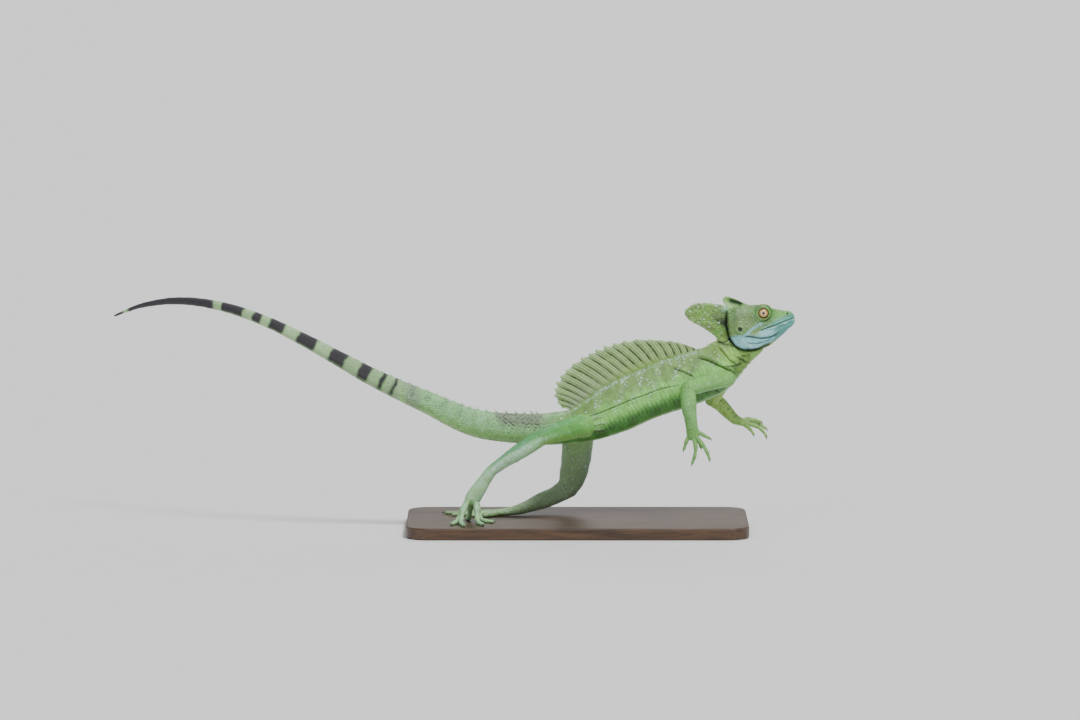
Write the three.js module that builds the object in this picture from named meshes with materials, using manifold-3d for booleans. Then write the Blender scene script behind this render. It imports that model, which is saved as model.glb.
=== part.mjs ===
// An adult male green basilisk, life size, running on its hind legs, on a flat display base.
// Millimetres, +Z up. The head points to +X and the animal's right side faces -Y.
// The animal is laid out in its own frame, with z = 0 at the top of the base and x = 0 at the hips.
import * as THREE from "three";
import { mergeVertices } from "three/addons/utils/BufferGeometryUtils.js";
import Module from "manifold-3d";

const wasm = await Module();
wasm.setup();

// Gap that touching pieces keep, and the height of the flats under the feet.
const GAP = 0.3;

// Display base.
const BASE = { length: 290, width: 150, thickness: 10, centreX: 2, corner: 18, bevel: 1.2 };

// Colours and finishes.
const SKIN_GREEN = { color: 0x6f9f45, roughness: 0.55, metalness: 0 };
const LIMB_GREEN = { color: 0x55a04a, roughness: 0.5, metalness: 0 };
const TAIL_GREY = { color: 0x7d8f66, roughness: 0.6, metalness: 0 };
const SAIL_GREEN = { color: 0x9aac74, roughness: 0.65, metalness: 0 };
const EYE_GOLD = { color: 0xd08a2e, roughness: 0.15, metalness: 0 };
const BASE_DARK = { color: 0x2e2620, roughness: 0.4, metalness: 0 };

// The trunk from the tail's tip to the neck: x, y, z of the middle, then half height above it,
// half height below it and half width.
const TAIL_ROWS = [
  [-397, 98, 163.2, 0.6, 0.6, 0.6],
  [-370, 77, 174.6, 1.9, 1.9, 1.5],
  [-336, 50, 180.6, 2.9, 2.9, 2.1],
  [-297, 24, 177.4, 3.7, 3.7, 2.6],
  [-255, 3, 164.2, 4.3, 4.3, 3.0],
  [-212, -9, 143.3, 5.4, 5.4, 3.7],
  [-170, -13.5, 120.6, 7.0, 7.0, 4.7],
  [-127, -13, 100.8, 8.7, 8.7, 5.8],
  [-85, -9, 82.1, 10.9, 11.1, 7.2],
  [-38, -3, 76.4, 11.9, 12.6, 9.4],
];
const TRUNK_ROWS = [
  [-14, -1, 77.2, 12.8, 13.8, 11.2],
  [0, 0, 78.6, 14.5, 14.8, 12.6],
  [17, 0, 85, 17.8, 18.2, 14.6],
  [38, 0, 95.7, 21.0, 21.5, 16.8],
  [59.5, 0, 105.1, 21.4, 21.2, 17.6],
  [79.5, 0, 112.8, 22.0, 22.0, 17.4],
  [100, 0, 119.7, 21.8, 21.8, 16.4],
  [116.5, 0, 126.2, 20.4, 20.8, 15.2],
  [127, 0, 135, 17.6, 18.4, 13.0],
  [137, 0, 146, 14.0, 17.8, 11.8],
  [146, 0, 156, 11.0, 18.6, 10.6],
];
const SPINE = [...TAIL_ROWS, ...TRUNK_ROWS];
const PELVIS = TAIL_ROWS.length; // the spine's station at the rear of the pelvis
const TRUNK_KEEL = 0.24; // how much narrower a section is near its top than near its belly

// Where the trunk is divided, in stations of the spine.
const CUTS = { neckTop: SPINE.length - 1, neck: PELVIS + 7.4, chest: PELVIS + 4.6, abdomen: PELVIS + 1.6 };
const TAIL_CUTS = [PELVIS - 0.2, PELVIS - 2, PELVIS - 3.75, PELVIS - 5.5, PELVIS - 7.5, 0];

// The head in its own frame: x runs from the jaw joint to the snout, z is up.
const HEAD = { x: 138.6, z: 161.5, pitch: THREE.MathUtils.degToRad(10) };
// Along x: crown height, brow half width and height, cheek half width and height,
// lip half width and height, jaw half width and height, throat height.
const HEAD_ROWS = [
  [-8.2, 8, 4.5, 6, 6.5, 1, 6.5, -4.5, 5, -9, -11],
  [-6, 14, 7.6, 12, 10.8, 3, 11, -5, 9, -12, -15.4],
  [0, 18.2, 9.2, 15.5, 14, 4, 14.8, -5.4, 13.2, -14.6, -18.8],
  [6, 18.9, 9.4, 16.2, 14.4, 3.4, 15.2, -5.2, 14.4, -15.4, -20.4],
  [12, 18.2, 9.4, 15.8, 13.4, 2.8, 14.2, -4.5, 13.6, -14.8, -20.7],
  [18, 17, 9.4, 15.6, 11.8, 2.8, 12.4, -3.5, 12, -12.8, -20.2],
  [24, 15.8, 8.8, 14.2, 10.6, 3.2, 11.2, -2.5, 10.6, -10.4, -18.4],
  [30, 13, 7.2, 11.4, 9.2, 3.6, 10, -1.6, 9.1, -8.4, -15],
  [36, 10.3, 5.8, 8.9, 7.8, 3.6, 8.6, -0.5, 7.4, -6.4, -11.4],
  [42, 8.4, 4.8, 7.2, 6.2, 3.6, 6.8, 0.6, 5.6, -4.4, -7.4],
  [46, 7, 3.7, 5.9, 4.6, 3.4, 5, 1.2, 4, -3, -4.9],
  [48.4, 4.8, 1.7, 4.2, 2.2, 2.8, 2.3, 1.4, 1.8, -1, -2.2],
];
const EYE = { x: 23.4, y: 6.6, z: 10.6, radius: 5.6 };
const ORBIT = { x: 23, y: 6.6, z: 10.6, length: 7.8, depth: 4.6, height: 6.1 };
const LID = { y: 10.2, radius: 4.9, thick: 0.85, lean: THREE.MathUtils.degToRad(12) };
const MOUTH = { corner: 17.5, tip: 48.6, height: 0.55, depth: 1.0, reach: 3 };
const NOSTRIL = { x: 43.4, y: 4.4, z: 6.3, rim: 1.5, hole: 0.8 };
const EAR = { x: 1.4, y: 14.3, z: 0.8, radius: 2.3, depth: 0.9, rim: 0.55 };

// The two crests of the head, in the head's frame: x, lower edge, upper edge and half thickness.
const REAR_CREST_ROWS = [
  [-3, -6, 17, 3.4],
  [-10, -13.2, 22.4, 2.9],
  [-16, -8.6, 24.5, 2.1],
  [-22, -1.2, 26.2, 1.6],
  [-28, 5.2, 27.5, 1.3],
  [-34, 10.4, 27.3, 1.1],
  [-38.5, 13.8, 25.6, 0.9],
  [-41.2, 17, 23.6, 0.7],
  [-42.4, 19.6, 21.4, 0.4],
];
const FRONT_CREST_ROWS = [
  [13, 16.2, 18.4, 0.9],
  [8, 16, 21.2, 1.2],
  [3, 16, 24.8, 1.3],
  [-1.5, 16.4, 27.4, 1.2],
  [-5, 19.2, 28.8, 1.0],
  [-7.4, 22.6, 28.4, 0.7],
  [-8.6, 24.6, 27, 0.4],
];
const FRONT_CREST_LEAN = THREE.MathUtils.degToRad(-14);
const FRONT_CREST_CUP = 2.4; // how far its left face bulges, its right face being hollow

// The sail on the back. Its rays start on the back line, evenly between two stations of the spine,
// and end on this edge, x and z of every second tip from the neck to the hips.
const SAIL = {
  rays: 21,
  front: PELVIS + 6.55,
  rear: PELVIS + 1.05,
  sink: 2.6,
  bow: 1.4,
  ray: 1.15,
  membrane: 0.5,
  notch: 0.05,
};
const SAIL_EDGE = [
  [100.5, 145.6],
  [87.5, 150.4],
  [73, 152.4],
  [52.5, 153],
  [33, 149.6],
  [17.8, 143.8],
  [5, 137],
  [-7.8, 127.2],
  [-15.8, 116],
  [-17.6, 104.6],
  [-11.5, 93.6],
];
const SAIL_LEVELS = [0, 0.3, 0.55, 0.8, 1]; // shares of a ray's length where the sail has points

// The row of small spikes on the tail, and on the nape.
const TAIL_SPIKES = {
  count: 26,
  from: PELVIS - 0.75,
  to: PELVIS - 5.1,
  height: 3.9,
  least: 1.3,
  length: 4.6,
  width: 1.5,
};
const NAPE_SPIKES = {
  count: 6,
  from: PELVIS + 8.25,
  to: PELVIS + 7.5,
  height: 2.2,
  least: 1.6,
  length: 3,
  width: 1.3,
};

// Limbs: x, y, z, then half thickness seen from the side and half width towards the side.
// The last row of each segment is the first of the next.
const RIGHT_ARM = {
  upper: [
    [129, -8, 121.5, 8.6, 7.4],
    [119, -16.5, 119.4, 7.4, 7.0],
    [107.5, -22.5, 116.6, 6.7, 6.5],
    [95.4, -28, 113.2, 6.2, 6.0],
  ],
  fore: [
    [95.4, -28, 113.2, 6.2, 6.0],
    [96, -30.6, 101.5, 6.5, 6.0],
    [97.6, -30.6, 88.5, 5.2, 4.6],
    [98.9, -30, 80.6, 4.9, 3.8],
  ],
  palm: [
    [98.9, -30, 80.6, 4.9, 3.8],
    [99.6, -29.6, 75.6, 5.3, 3.0],
    [100, -29.6, 72, 4.4, 2.3],
  ],
  digits: [
    [[97.6, -29, 75.5], [94.4, -29, 69], [92.2, -28.4, 62], [91.2, -27.6, 59]],
    [[99.6, -30, 74], [102, -32, 64.5], [101.2, -32.2, 56.5], [99.2, -31, 50.4], [98.2, -29.6, 47]],
    [[101.6, -30, 74.5], [107.4, -32.6, 67], [111.6, -33.6, 60.2], [113.8, -33.4, 54], [114.2, -32.4, 50.8]],
    [[102, -29.5, 78], [108.4, -31, 74.4], [113.6, -32, 71.8], [116.4, -32, 69.8]],
    [[100.4, -28.5, 75.5], [104.6, -21, 68.4], [106.8, -15.6, 62], [107.4, -13.2, 59]],
  ],
  root: 1.9,
  tip: 1.15,
};
const LEFT_ARM = {
  upper: [
    [127, 8, 119.5, 8.2, 7.4],
    [122.6, 24, 108.4, 6.8, 6.5],
    [117.4, 38, 97.4, 6.0, 5.8],
  ],
  fore: [
    [117.4, 38, 97.4, 6.0, 5.8],
    [124.4, 43, 92.4, 6.0, 5.6],
    [131.6, 48.6, 84.4, 5.0, 4.6],
    [137.2, 52, 78.6, 4.3, 3.9],
  ],
  palm: [
    [137.2, 52, 78.6, 4.3, 3.9],
    [143, 54, 76, 3.3, 5.0],
    [147.4, 55.2, 75, 2.6, 4.6],
  ],
  digits: [
    [[145, 56.6, 76], [153, 60, 77.2], [159.8, 62, 75.4], [162.4, 62.6, 72.8]],
    [[146, 54.4, 75], [155.4, 56, 72.2], [160.8, 57, 68.6], [164.8, 57.2, 63.4], [164.6, 57.2, 59.8]],
    [[146, 56.8, 75.6], [156.4, 63.6, 74], [164.4, 67.2, 69], [166.8, 68, 66]],
    [[144.6, 52.4, 74.6], [150, 49.4, 70.6], [153.4, 48.2, 66.4], [153.8, 48, 63]],
    [[143, 57.4, 76.4], [149.6, 66, 77.4], [155, 72.6, 74.4], [156.8, 74.8, 71.8]],
  ],
  root: 1.85,
  tip: 1.1,
};
const RIGHT_LEG = {
  upper: [
    [12, -4, 80, 10.5, 10.5],
    [2, -16, 79.6, 9.4, 9.6],
    [-10, -28, 77.6, 8.4, 8.8],
    [-21, -37, 75.4, 7.2, 7.6],
    [-29, -43, 73, 6.3, 6.4],
  ],
  fore: [
    [-29, -43, 73, 6.3, 6.4],
    [-38, -43, 67.4, 6.6, 6.6],
    [-49, -42, 60.4, 6.5, 6.2],
    [-62.5, -39, 51, 5.0, 4.8],
    [-71.4, -37, 44, 4.6, 4.4],
  ],
  palm: [
    [-71.4, -37, 44, 4.6, 4.4],
    [-77, -36, 35.6, 5.3, 3.8],
    [-82.6, -34.6, 27, 6.1, 3.6],
    [-87, -33.4, 20, 6.4, 3.2],
    [-88.4, -33, 17.4, 5.4, 2.4],
  ],
  digits: [
    [
      [-90, -32, 21],
      [-95.4, -34, 11],
      [-99, -38, 3],
      [-102, -46, 1.5],
      [-104.4, -54, 1.5],
      [-105.4, -58, 0.9],
    ],
    [
      [-89.6, -34, 21],
      [-94.6, -38, 11],
      [-96.6, -44, 3],
      [-95.8, -53, 1.5],
      [-94, -63, 1.5],
      [-93.4, -67, 0.9],
    ],
    [
      [-84.6, -33.4, 21],
      [-83.2, -36, 12],
      [-82.8, -41, 3.4],
      [-80.8, -49, 1.5],
      [-78, -57, 1.5],
      [-76.8, -61, 0.9],
    ],
    [
      [-84.4, -31.6, 21.5],
      [-82.4, -29, 12],
      [-80.4, -31, 3.4],
      [-75.6, -35, 1.5],
      [-70, -38.6, 1.5],
      [-66.4, -40.4, 0.9],
    ],
    [
      [-87.6, -30.6, 21],
      [-88.8, -25, 11.5],
      [-90, -21.4, 3],
      [-91, -17.6, 1.5],
      [-92, -14, 1.5],
      [-92.4, -11, 0.9],
    ],
  ],
  root: 2.5,
  tip: 1.35,
};
const LEFT_LEG = {
  upper: [
    [4, 3, 78, 13.0, 9.5],
    [2.4, 14, 63, 13.0, 8.8],
    [0.8, 22.5, 46, 12.4, 8.4],
    [-2, 28.4, 31.6, 11.2, 8.0],
    [-5.4, 30.6, 22.6, 9.2, 7.6],
  ],
  fore: [
    [-5.4, 30.6, 22.6, 9.2, 7.6],
    [-15.5, 27.4, 16.4, 7.4, 7.0],
    [-28.5, 22, 11.6, 6.9, 6.2],
    [-39.6, 16.4, 7.8, 5.2, 5.0],
    [-47.4, 13, 5.4, 4.3, 4.4],
  ],
  palm: [
    [-47.4, 13, 5.4, 4.3, 4.4],
    [-56, 11.6, 3.8, 3.3, 4.8],
    [-65, 11.4, 3.0, 2.7, 5.6],
    [-72, 11.8, 2.6, 2.2, 5.6],
    [-74, 12, 2.4, 1.8, 4.6],
  ],
  digits: [
    [[-66, 8.6, 2.6], [-72.4, 3.2, 2.2], [-77.4, -0.8, 1.6], [-80.4, -2.6, 1.0]],
    [[-70, 8.8, 2.6], [-80, 4.6, 2.2], [-88, 2.4, 1.6], [-91.6, 1.6, 1.0]],
    [[-71, 10.8, 2.6], [-84, 9.6, 2.2], [-97, 9.8, 1.7], [-104, 10.2, 1.5], [-108, 10.4, 0.9]],
    [[-71, 13, 2.6], [-86, 15.4, 2.2], [-99, 19, 1.7], [-110, 22, 1.5], [-114, 23.2, 0.9]],
    [[-67, 15.2, 2.6], [-76, 23.4, 2.2], [-83.6, 30.4, 1.6], [-86.6, 33, 1.0]],
  ],
  root: 2.4,
  tip: 1.35,
};

const point = (x, y, z) => new THREE.Vector3(x, y, z);
const mix = THREE.MathUtils.lerp;
const clamp = THREE.MathUtils.clamp;

// A list made by calling make(0), make(1), and so on.
const times = (count, make) => Array.from({ length: count }, (_, i) => make(i));

// Numbers between the rows of a table, by a smooth curve through them; t counts rows.
function rowAt(rows, t) {
  const i = clamp(Math.floor(t), 0, rows.length - 2);
  const near = (k) => rows[clamp(i + k, 0, rows.length - 1)];
  const f = t - i;
  return rows[i].map((_, c) => {
    const [p0, p1, p2, p3] = [near(-1)[c], near(0)[c], near(1)[c], near(2)[c]];
    const v1 = (p2 - p0) / 2;
    const v2 = (p3 - p1) / 2;
    return ((2 * p1 - 2 * p2 + v1 + v2) * f + (3 * p2 - 3 * p1 - 2 * v1 - v2)) * f * f + v1 * f + p1;
  });
}

// The place of a section on a table of rows that start with x, y, z: its middle, the way along,
// and the ways to its side and up.
function sectionAt(rows, t) {
  const step = 0.02;
  const end = rows.length - 1;
  const row = rowAt(rows, t);
  const ahead = rowAt(rows, Math.min(t + step, end));
  const behind = rowAt(rows, Math.max(t - step, 0));
  const along = point(ahead[0] - behind[0], ahead[1] - behind[1], ahead[2] - behind[2]).normalize();
  const side = point(0, 1, 0);
  side.addScaledVector(along, -side.dot(along)).normalize();
  const up = side.clone().cross(along);
  if (up.z < 0 || (Math.abs(up.z) < 1e-6 && up.x < 0)) up.negate();
  return { middle: point(...row), along, side, up, row };
}

// A closed solid from points and corner numbers, turned to face out.
function solidFrom(points, corners) {
  const make = (triVerts) =>
    new wasm.Manifold(
      new wasm.Mesh({
        numProp: 3,
        vertProperties: new Float32Array(points.flatMap((p) => [p.x, p.y, p.z])),
        triVerts: new Uint32Array(triVerts),
      }),
    );
  const solid = make(corners);
  return solid.volume() > 0 ? solid : make(corners.toReversed());
}

// A solid through closed rings of points, with a flat or pointed end at each.
function solidFromRings(rings) {
  const sides = rings[0].length;
  const middleOf = (ring) => ring.reduce((sum, p) => sum.add(p), point(0, 0, 0)).divideScalar(sides);
  const points = [...rings.flat(), middleOf(rings[0]), middleOf(rings.at(-1))];
  const [first, last] = [points.length - 2, points.length - 1];
  const corners = [];
  for (let r = 0; r + 1 < rings.length; r++)
    for (let k = 0; k < sides; k++) {
      const a = r * sides + k;
      const b = r * sides + ((k + 1) % sides);
      corners.push(a, b, b + sides, a, b + sides, a + sides);
    }
  const lastRing = (rings.length - 1) * sides;
  for (let k = 0; k < sides; k++) {
    const next = (k + 1) % sides;
    corners.push(first, next, k, last, lastRing + k, lastRing + next);
  }
  return solidFrom(points, corners);
}

// An oval ring round a section, with its own half heights above and below and half width.
// A keel makes it narrower towards the top.
function ovalRing({ middle, side, up }, above, below, half, sides, keel = 0) {
  return times(sides, (k) => {
    const angle = (2 * Math.PI * k) / sides;
    const high = Math.sin(angle);
    const across = Math.cos(angle) * half * (1 - keel * high);
    return middle
      .clone()
      .addScaledVector(side, across)
      .addScaledVector(up, high * (high > 0 ? above : below));
  });
}

// A piece of the trunk or tail between two stations of the spine, made bigger all round by grow.
function spinePiece(from, to, sides, ringsPerStation, grow = 0) {
  const count = Math.max(2, Math.ceil(Math.abs(to - from) * ringsPerStation) + 1);
  const rings = times(count, (i) => {
    const t = mix(from, to, i / (count - 1));
    const section = sectionAt(SPINE, t);
    const [, , , above, below, half] = section.row;
    const keel = TRUNK_KEEL * THREE.MathUtils.smoothstep(t, PELVIS - 1.5, PELVIS + 2);
    return ovalRing(section, above + grow, below + grow, half + grow, sides, keel);
  });
  return solidFromRings(rings);
}

// The same, kept half a gap short of its neighbour at each end.
function spineNode(from, to, sides, ringsPerStation) {
  const perStation = (t) => {
    const [a, b] = [rowAt(SPINE, Math.max(t - 0.1, 0)), rowAt(SPINE, Math.min(t + 0.1, SPINE.length - 1))];
    return Math.hypot(b[0] - a[0], b[1] - a[1], b[2] - a[2]) / 0.2;
  };
  const shrink = (t) => GAP / 2 / perStation(t);
  return spinePiece(from + (from > 0 ? shrink(from) : 0), to - shrink(to), sides, ringsPerStation);
}

// A limb's segment with rounded ends, made bigger by grow.
function segment(rows, sides = 12, ringsPerRow = 2, grow = 0) {
  const count = (rows.length - 1) * ringsPerRow + 1;
  const ringAt = (t, shift, scale) => {
    const section = sectionAt(rows, t);
    const [, , , tall, wide] = section.row;
    const round = Math.min(tall, wide) + grow;
    section.middle.addScaledVector(section.along, shift * round);
    return ovalRing(section, (tall + grow) * scale, (tall + grow) * scale, (wide + grow) * scale, sides);
  };
  const bends = [72, 38].map(THREE.MathUtils.degToRad);
  const end = rows.length - 1;
  return solidFromRings([
    ...bends.map((a) => ringAt(0, -Math.sin(a), Math.cos(a))),
    ...times(count, (i) => ringAt((end * i) / (count - 1), 0, 1)),
    ...bends.toReversed().map((a) => ringAt(end, Math.sin(a), Math.cos(a))),
  ]);
}

// A finger or toe that thins from root to tip, with a claw over its last stretch.
function digit(places, root, tip) {
  const rows = places.map((p, i) => [...p, mix(root, tip, Math.min(i / (places.length - 2), 1))]);
  const end = rows.length - 1;
  const thinning = [
    [end - 0.94, 0.8],
    [end - 0.9, 0.6],
    [end - 0.45, 0.45],
    [end, 0.16],
  ];
  const along = [...times(2 * end - 1, (i) => [i / 2, 1]), ...thinning];
  return solidFromRings(
    along.map(([t, scale]) => {
      const section = sectionAt(rows, t);
      const radius = section.row[3] * scale;
      return ovalRing(section, radius, radius, radius, 6);
    }),
  );
}

// The plane through a joint that halves its bend, as the way and the distance that cuts take.
function jointPlane(before, after) {
  const way = sectionAt(before, before.length - 1).along.add(sectionAt(after, 0).along).normalize();
  return { way, distance: way.dot(point(...after[0].slice(0, 3))) };
}
const keepBefore = (solid, { way, distance }) =>
  solid.trimByPlane(way.clone().negate().toArray(), -distance + GAP / 2);
const keepAfter = (solid, { way, distance }) => solid.trimByPlane(way.toArray(), distance + GAP / 2);

// The largest closed surface of a solid.
const largest = (solid) => solid.decompose().sort((a, b) => b.volume() - a.volume())[0];

// A named mesh of a solid with a finish.
function meshOf(name, solid, finish) {
  const { numProp, vertProperties, triVerts } = largest(solid).getMesh();
  const places = new Float32Array((vertProperties.length / numProp) * 3);
  for (let i = 0; i * 3 < places.length; i++)
    places.set(vertProperties.subarray(i * numProp, i * numProp + 3), i * 3);
  const geometry = new THREE.BufferGeometry();
  geometry.setAttribute("position", new THREE.BufferAttribute(places, 3));
  geometry.setIndex(new THREE.BufferAttribute(triVerts, 1));
  geometry.computeVertexNormals();
  const mesh = new THREE.Mesh(geometry, new THREE.MeshStandardMaterial({ ...finish, flatShading: true }));
  mesh.name = name;
  return mesh;
}

// A solid from one of the library's closed shapes, scaled, turned and placed.
function shapeSolid(geometry, place, scale = [1, 1, 1], turn = [0, 0, 0]) {
  const bare = geometry.clone();
  bare.deleteAttribute("normal");
  bare.deleteAttribute("uv");
  const merged = mergeVertices(bare, 1e-4);
  const matrix = new THREE.Matrix4().compose(
    point(...place),
    new THREE.Quaternion().setFromEuler(new THREE.Euler(...turn)),
    point(...scale),
  );
  merged.applyMatrix4(matrix);
  const at = merged.getAttribute("position");
  return solidFrom(
    times(at.count, (i) => point(at.getX(i), at.getY(i), at.getZ(i))),
    [...merged.index.array],
  );
}

// A small flat spike on the back line at a station of the spine, leaning towards the tail's tip.
function spike(t, height, length, width) {
  const { middle, along, side, up, row } = sectionAt(SPINE, t);
  const sunk = 1.6;
  const place = (back, out, across) =>
    middle
      .clone()
      .addScaledVector(along, -back)
      .addScaledVector(up, row[3] + out)
      .addScaledVector(side, across);
  const foot = [
    place(-length / 2, -sunk, 0),
    place(0, -sunk, width / 2),
    place(length / 2, -sunk, 0),
    place(0, -sunk, -width / 2),
  ];
  const waist = foot.map((p) => p.clone().lerp(place(length * 0.35, height * 0.4, 0), 0.45));
  const top = foot.map((p) => p.clone().lerp(place(length * 0.95, height, 0), 0.9));
  return solidFromRings([foot, waist, top]);
}
function spikeRow({ count, from, to, height, least, length, width }, low, high) {
  const along = times(count, (i) => i / (count - 1))
    .map((f) => ({ t: mix(from, to, f), tall: mix(height, least, f), long: mix(length, length * 0.6, f) }))
    .filter(({ t }) => t > low + 0.12 && t < high - 0.12);
  return along.map(({ t, tall, long }) => spike(t, tall, long, width));
}

// The sail: a column of points for each ray and each dip between two rays, thick on the rays.
function sail() {
  const columns = (SAIL.rays - 1) * 4 + 1;
  const faces = [1, -1].map((hand) =>
    times(columns, (c) => {
      const f = c / (columns - 1);
      const onRay = Math.cos((c * Math.PI) / 2) * 0.5 + 0.5;
      const { middle, up, side, row } = sectionAt(SPINE, mix(SAIL.front, SAIL.rear, f));
      const root = middle.clone().addScaledVector(up, row[3] - SAIL.sink);
      const [tipX, tipZ] = rowAt(SAIL_EDGE, f * (SAIL_EDGE.length - 1));
      const tip = point(tipX, root.y, tipZ);
      const bow = tip.clone().sub(root).cross(side).normalize().multiplyScalar(SAIL.bow);
      if (bow.z < 0) bow.negate();
      return SAIL_LEVELS.map((level) => {
        const share = level * (1 - SAIL.notch * (1 - onRay));
        const half = mix(SAIL.membrane, mix(SAIL.ray, SAIL.membrane * 1.2, level), onRay);
        return root
          .clone()
          .lerp(tip, share)
          .addScaledVector(bow, Math.sin(Math.PI * share))
          .addScaledVector(side, hand * half);
      });
    }),
  );
  const rows = SAIL_LEVELS.length;
  const points = faces.flat(2);
  const at = (face, c, r) => (face * columns + c) * rows + r;
  const corners = [];
  const strip = (a, b, c, d) => corners.push(a, b, c, a, c, d);
  for (let c = 0; c + 1 < columns; c++) {
    for (let r = 0; r + 1 < rows; r++) {
      strip(at(0, c, r), at(0, c + 1, r), at(0, c + 1, r + 1), at(0, c, r + 1));
      strip(at(1, c, r), at(1, c, r + 1), at(1, c + 1, r + 1), at(1, c + 1, r));
    }
    strip(at(0, c + 1, 0), at(0, c, 0), at(1, c, 0), at(1, c + 1, 0));
    strip(at(0, c, rows - 1), at(0, c + 1, rows - 1), at(1, c + 1, rows - 1), at(1, c, rows - 1));
  }
  for (let r = 0; r + 1 < rows; r++) {
    strip(at(0, 0, r), at(0, 0, r + 1), at(1, 0, r + 1), at(1, 0, r));
    const last = columns - 1;
    strip(at(0, last, r + 1), at(0, last, r), at(1, last, r), at(1, last, r + 1));
  }
  return solidFrom(points, corners);
}

// One closed section of the head at x, grown outwards, as points in the head's frame.
function headRing(t, grow = 0) {
  const [x, crown, browY, browZ, cheekY, cheekZ, lipY, lipZ, jawY, jawZ, throat] = rowAt(HEAD_ROWS, t);
  const half = [
    [0, crown],
    [browY * 0.6, mix(crown, browZ, 0.3)],
    [browY, browZ],
    [cheekY, cheekZ],
    [lipY, lipZ],
    [jawY, jawZ],
    [jawY * 0.55, mix(jawZ, throat, 0.72)],
    [0, throat],
  ];
  const mirrored = half.slice(1, -1).toReversed().map(([y, z]) => [-y, z]);
  const outline = [...half, ...mirrored];
  const perSpan = 2;
  return times(outline.length * perSpan, (k) => {
    const span = Math.floor(k / perSpan);
    const ringed = [-1, 0, 1, 2].map((d) => outline[(span + d + outline.length) % outline.length]);
    const [y, z] = rowAt(ringed, 1 + (k % perSpan) / perSpan);
    const out = Math.hypot(y, z - cheekZ) || 1;
    return point(x, y + (grow * y) / out, z + (grow * (z - cheekZ)) / out);
  });
}
function headLoft(grow = 0) {
  const perRow = 2;
  const count = (HEAD_ROWS.length - 1) * perRow + 1;
  const rings = times(count, (i) => headRing(i / perRow, grow));
  rings[0].forEach((p) => (p.x -= grow));
  rings.at(-1).forEach((p) => (p.x += grow));
  return solidFromRings(rings);
}

// A thin bent wall along the mouth, from one corner round the snout to the other.
function mouthCut() {
  const steps = 16;
  const sectionFor = (f) => {
    const hand = f < 0.5 ? 1 : -1;
    const share = 1 - Math.abs(2 * f - 1);
    const x = mix(MOUTH.corner, MOUTH.tip, Math.sin((share * Math.PI) / 2));
    const next = HEAD_ROWS.findIndex((row) => row[0] >= x);
    const [before, after] = next < 0 ? [48.4, 48.4] : [HEAD_ROWS[next - 1][0], HEAD_ROWS[next][0]];
    const t = next < 0 ? HEAD_ROWS.length - 1 : next - 1 + (x - before) / (after - before);
    const [, , , , , , lipY, lipZ] = rowAt(HEAD_ROWS, t);
    const inner = Math.max(lipY - MOUTH.depth, 0);
    const front = share > 0.999 ? 1 : 0;
    return [
      point(x - MOUTH.depth * front, hand * inner * (1 - front), lipZ - MOUTH.height / 2),
      point(x + MOUTH.reach * share, hand * (lipY + MOUTH.reach) * (1 - front), lipZ - MOUTH.height / 2),
      point(x + MOUTH.reach * share, hand * (lipY + MOUTH.reach) * (1 - front), lipZ + MOUTH.height / 2),
      point(x - MOUTH.depth * front, hand * inner * (1 - front), lipZ + MOUTH.height / 2),
    ];
  };
  return solidFromRings(times(steps + 1, (i) => sectionFor(i / steps)));
}

function headSolid() {
  const ball = new THREE.SphereGeometry(1, 14, 10);
  const ring = new THREE.TorusGeometry(LID.radius, LID.thick, 5, 16);
  const earRing = new THREE.TorusGeometry(EAR.radius, EAR.rim, 4, 12);
  const smallBall = new THREE.SphereGeometry(1, 8, 6);
  let solid = headLoft();
  for (const hand of [1, -1]) {
    const nostril = [NOSTRIL.x, hand * (NOSTRIL.y - 0.7), NOSTRIL.z];
    const nostrilHole = [NOSTRIL.x, hand * (NOSTRIL.y + 0.5), NOSTRIL.z];
    const earHole = [EAR.x, hand * (EAR.y + 0.6), EAR.z];
    const earSize = EAR.radius - 0.4;
    solid = solid
      .add(shapeSolid(ball, [ORBIT.x, hand * ORBIT.y, ORBIT.z], [ORBIT.length, ORBIT.depth, ORBIT.height]))
      .add(shapeSolid(ring, [EYE.x, hand * LID.y, EYE.z], [1, 1, 1], [Math.PI / 2 + hand * LID.lean, 0, 0]))
      .add(shapeSolid(smallBall, nostril, times(3, () => NOSTRIL.rim)))
      .add(shapeSolid(earRing, [EAR.x, hand * EAR.y, EAR.z], [1, 1, 1], [Math.PI / 2, 0, 0]))
      .subtract(shapeSolid(ball, [EYE.x, hand * EYE.y, EYE.z], times(3, () => EYE.radius + GAP)))
      .subtract(shapeSolid(smallBall, nostrilHole, times(3, () => NOSTRIL.hole)))
      .subtract(shapeSolid(smallBall, earHole, [earSize, EAR.depth, earSize]));
  }
  return solid.subtract(mouthCut());
}

// A thin upright crest of the head from its rows, leaning sideways about the crown.
function crest(rows, lean, cup = 0, sides = 14) {
  const count = (rows.length - 1) * 2 + 1;
  const hinge = rows[0][1];
  const rings = times(count, (i) => {
    const [x, low, high, half] = rowAt(rows, i / 2);
    const bulge = cup * Math.sin((Math.PI * i) / (count - 1));
    return times(sides, (k) => {
      const angle = (2 * Math.PI * k) / sides;
      const share = 0.5 + 0.5 * Math.sin(angle);
      const z = mix(low, high, share);
      const y = Math.sign(Math.cos(angle)) * Math.abs(Math.cos(angle)) ** 0.6 * half;
      const leaning = Math.sin(lean) * Math.max(z - hinge, 0);
      return point(x, y - leaning + bulge * Math.sin(Math.PI * share), z);
    });
  });
  return solidFromRings(rings);
}

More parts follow.
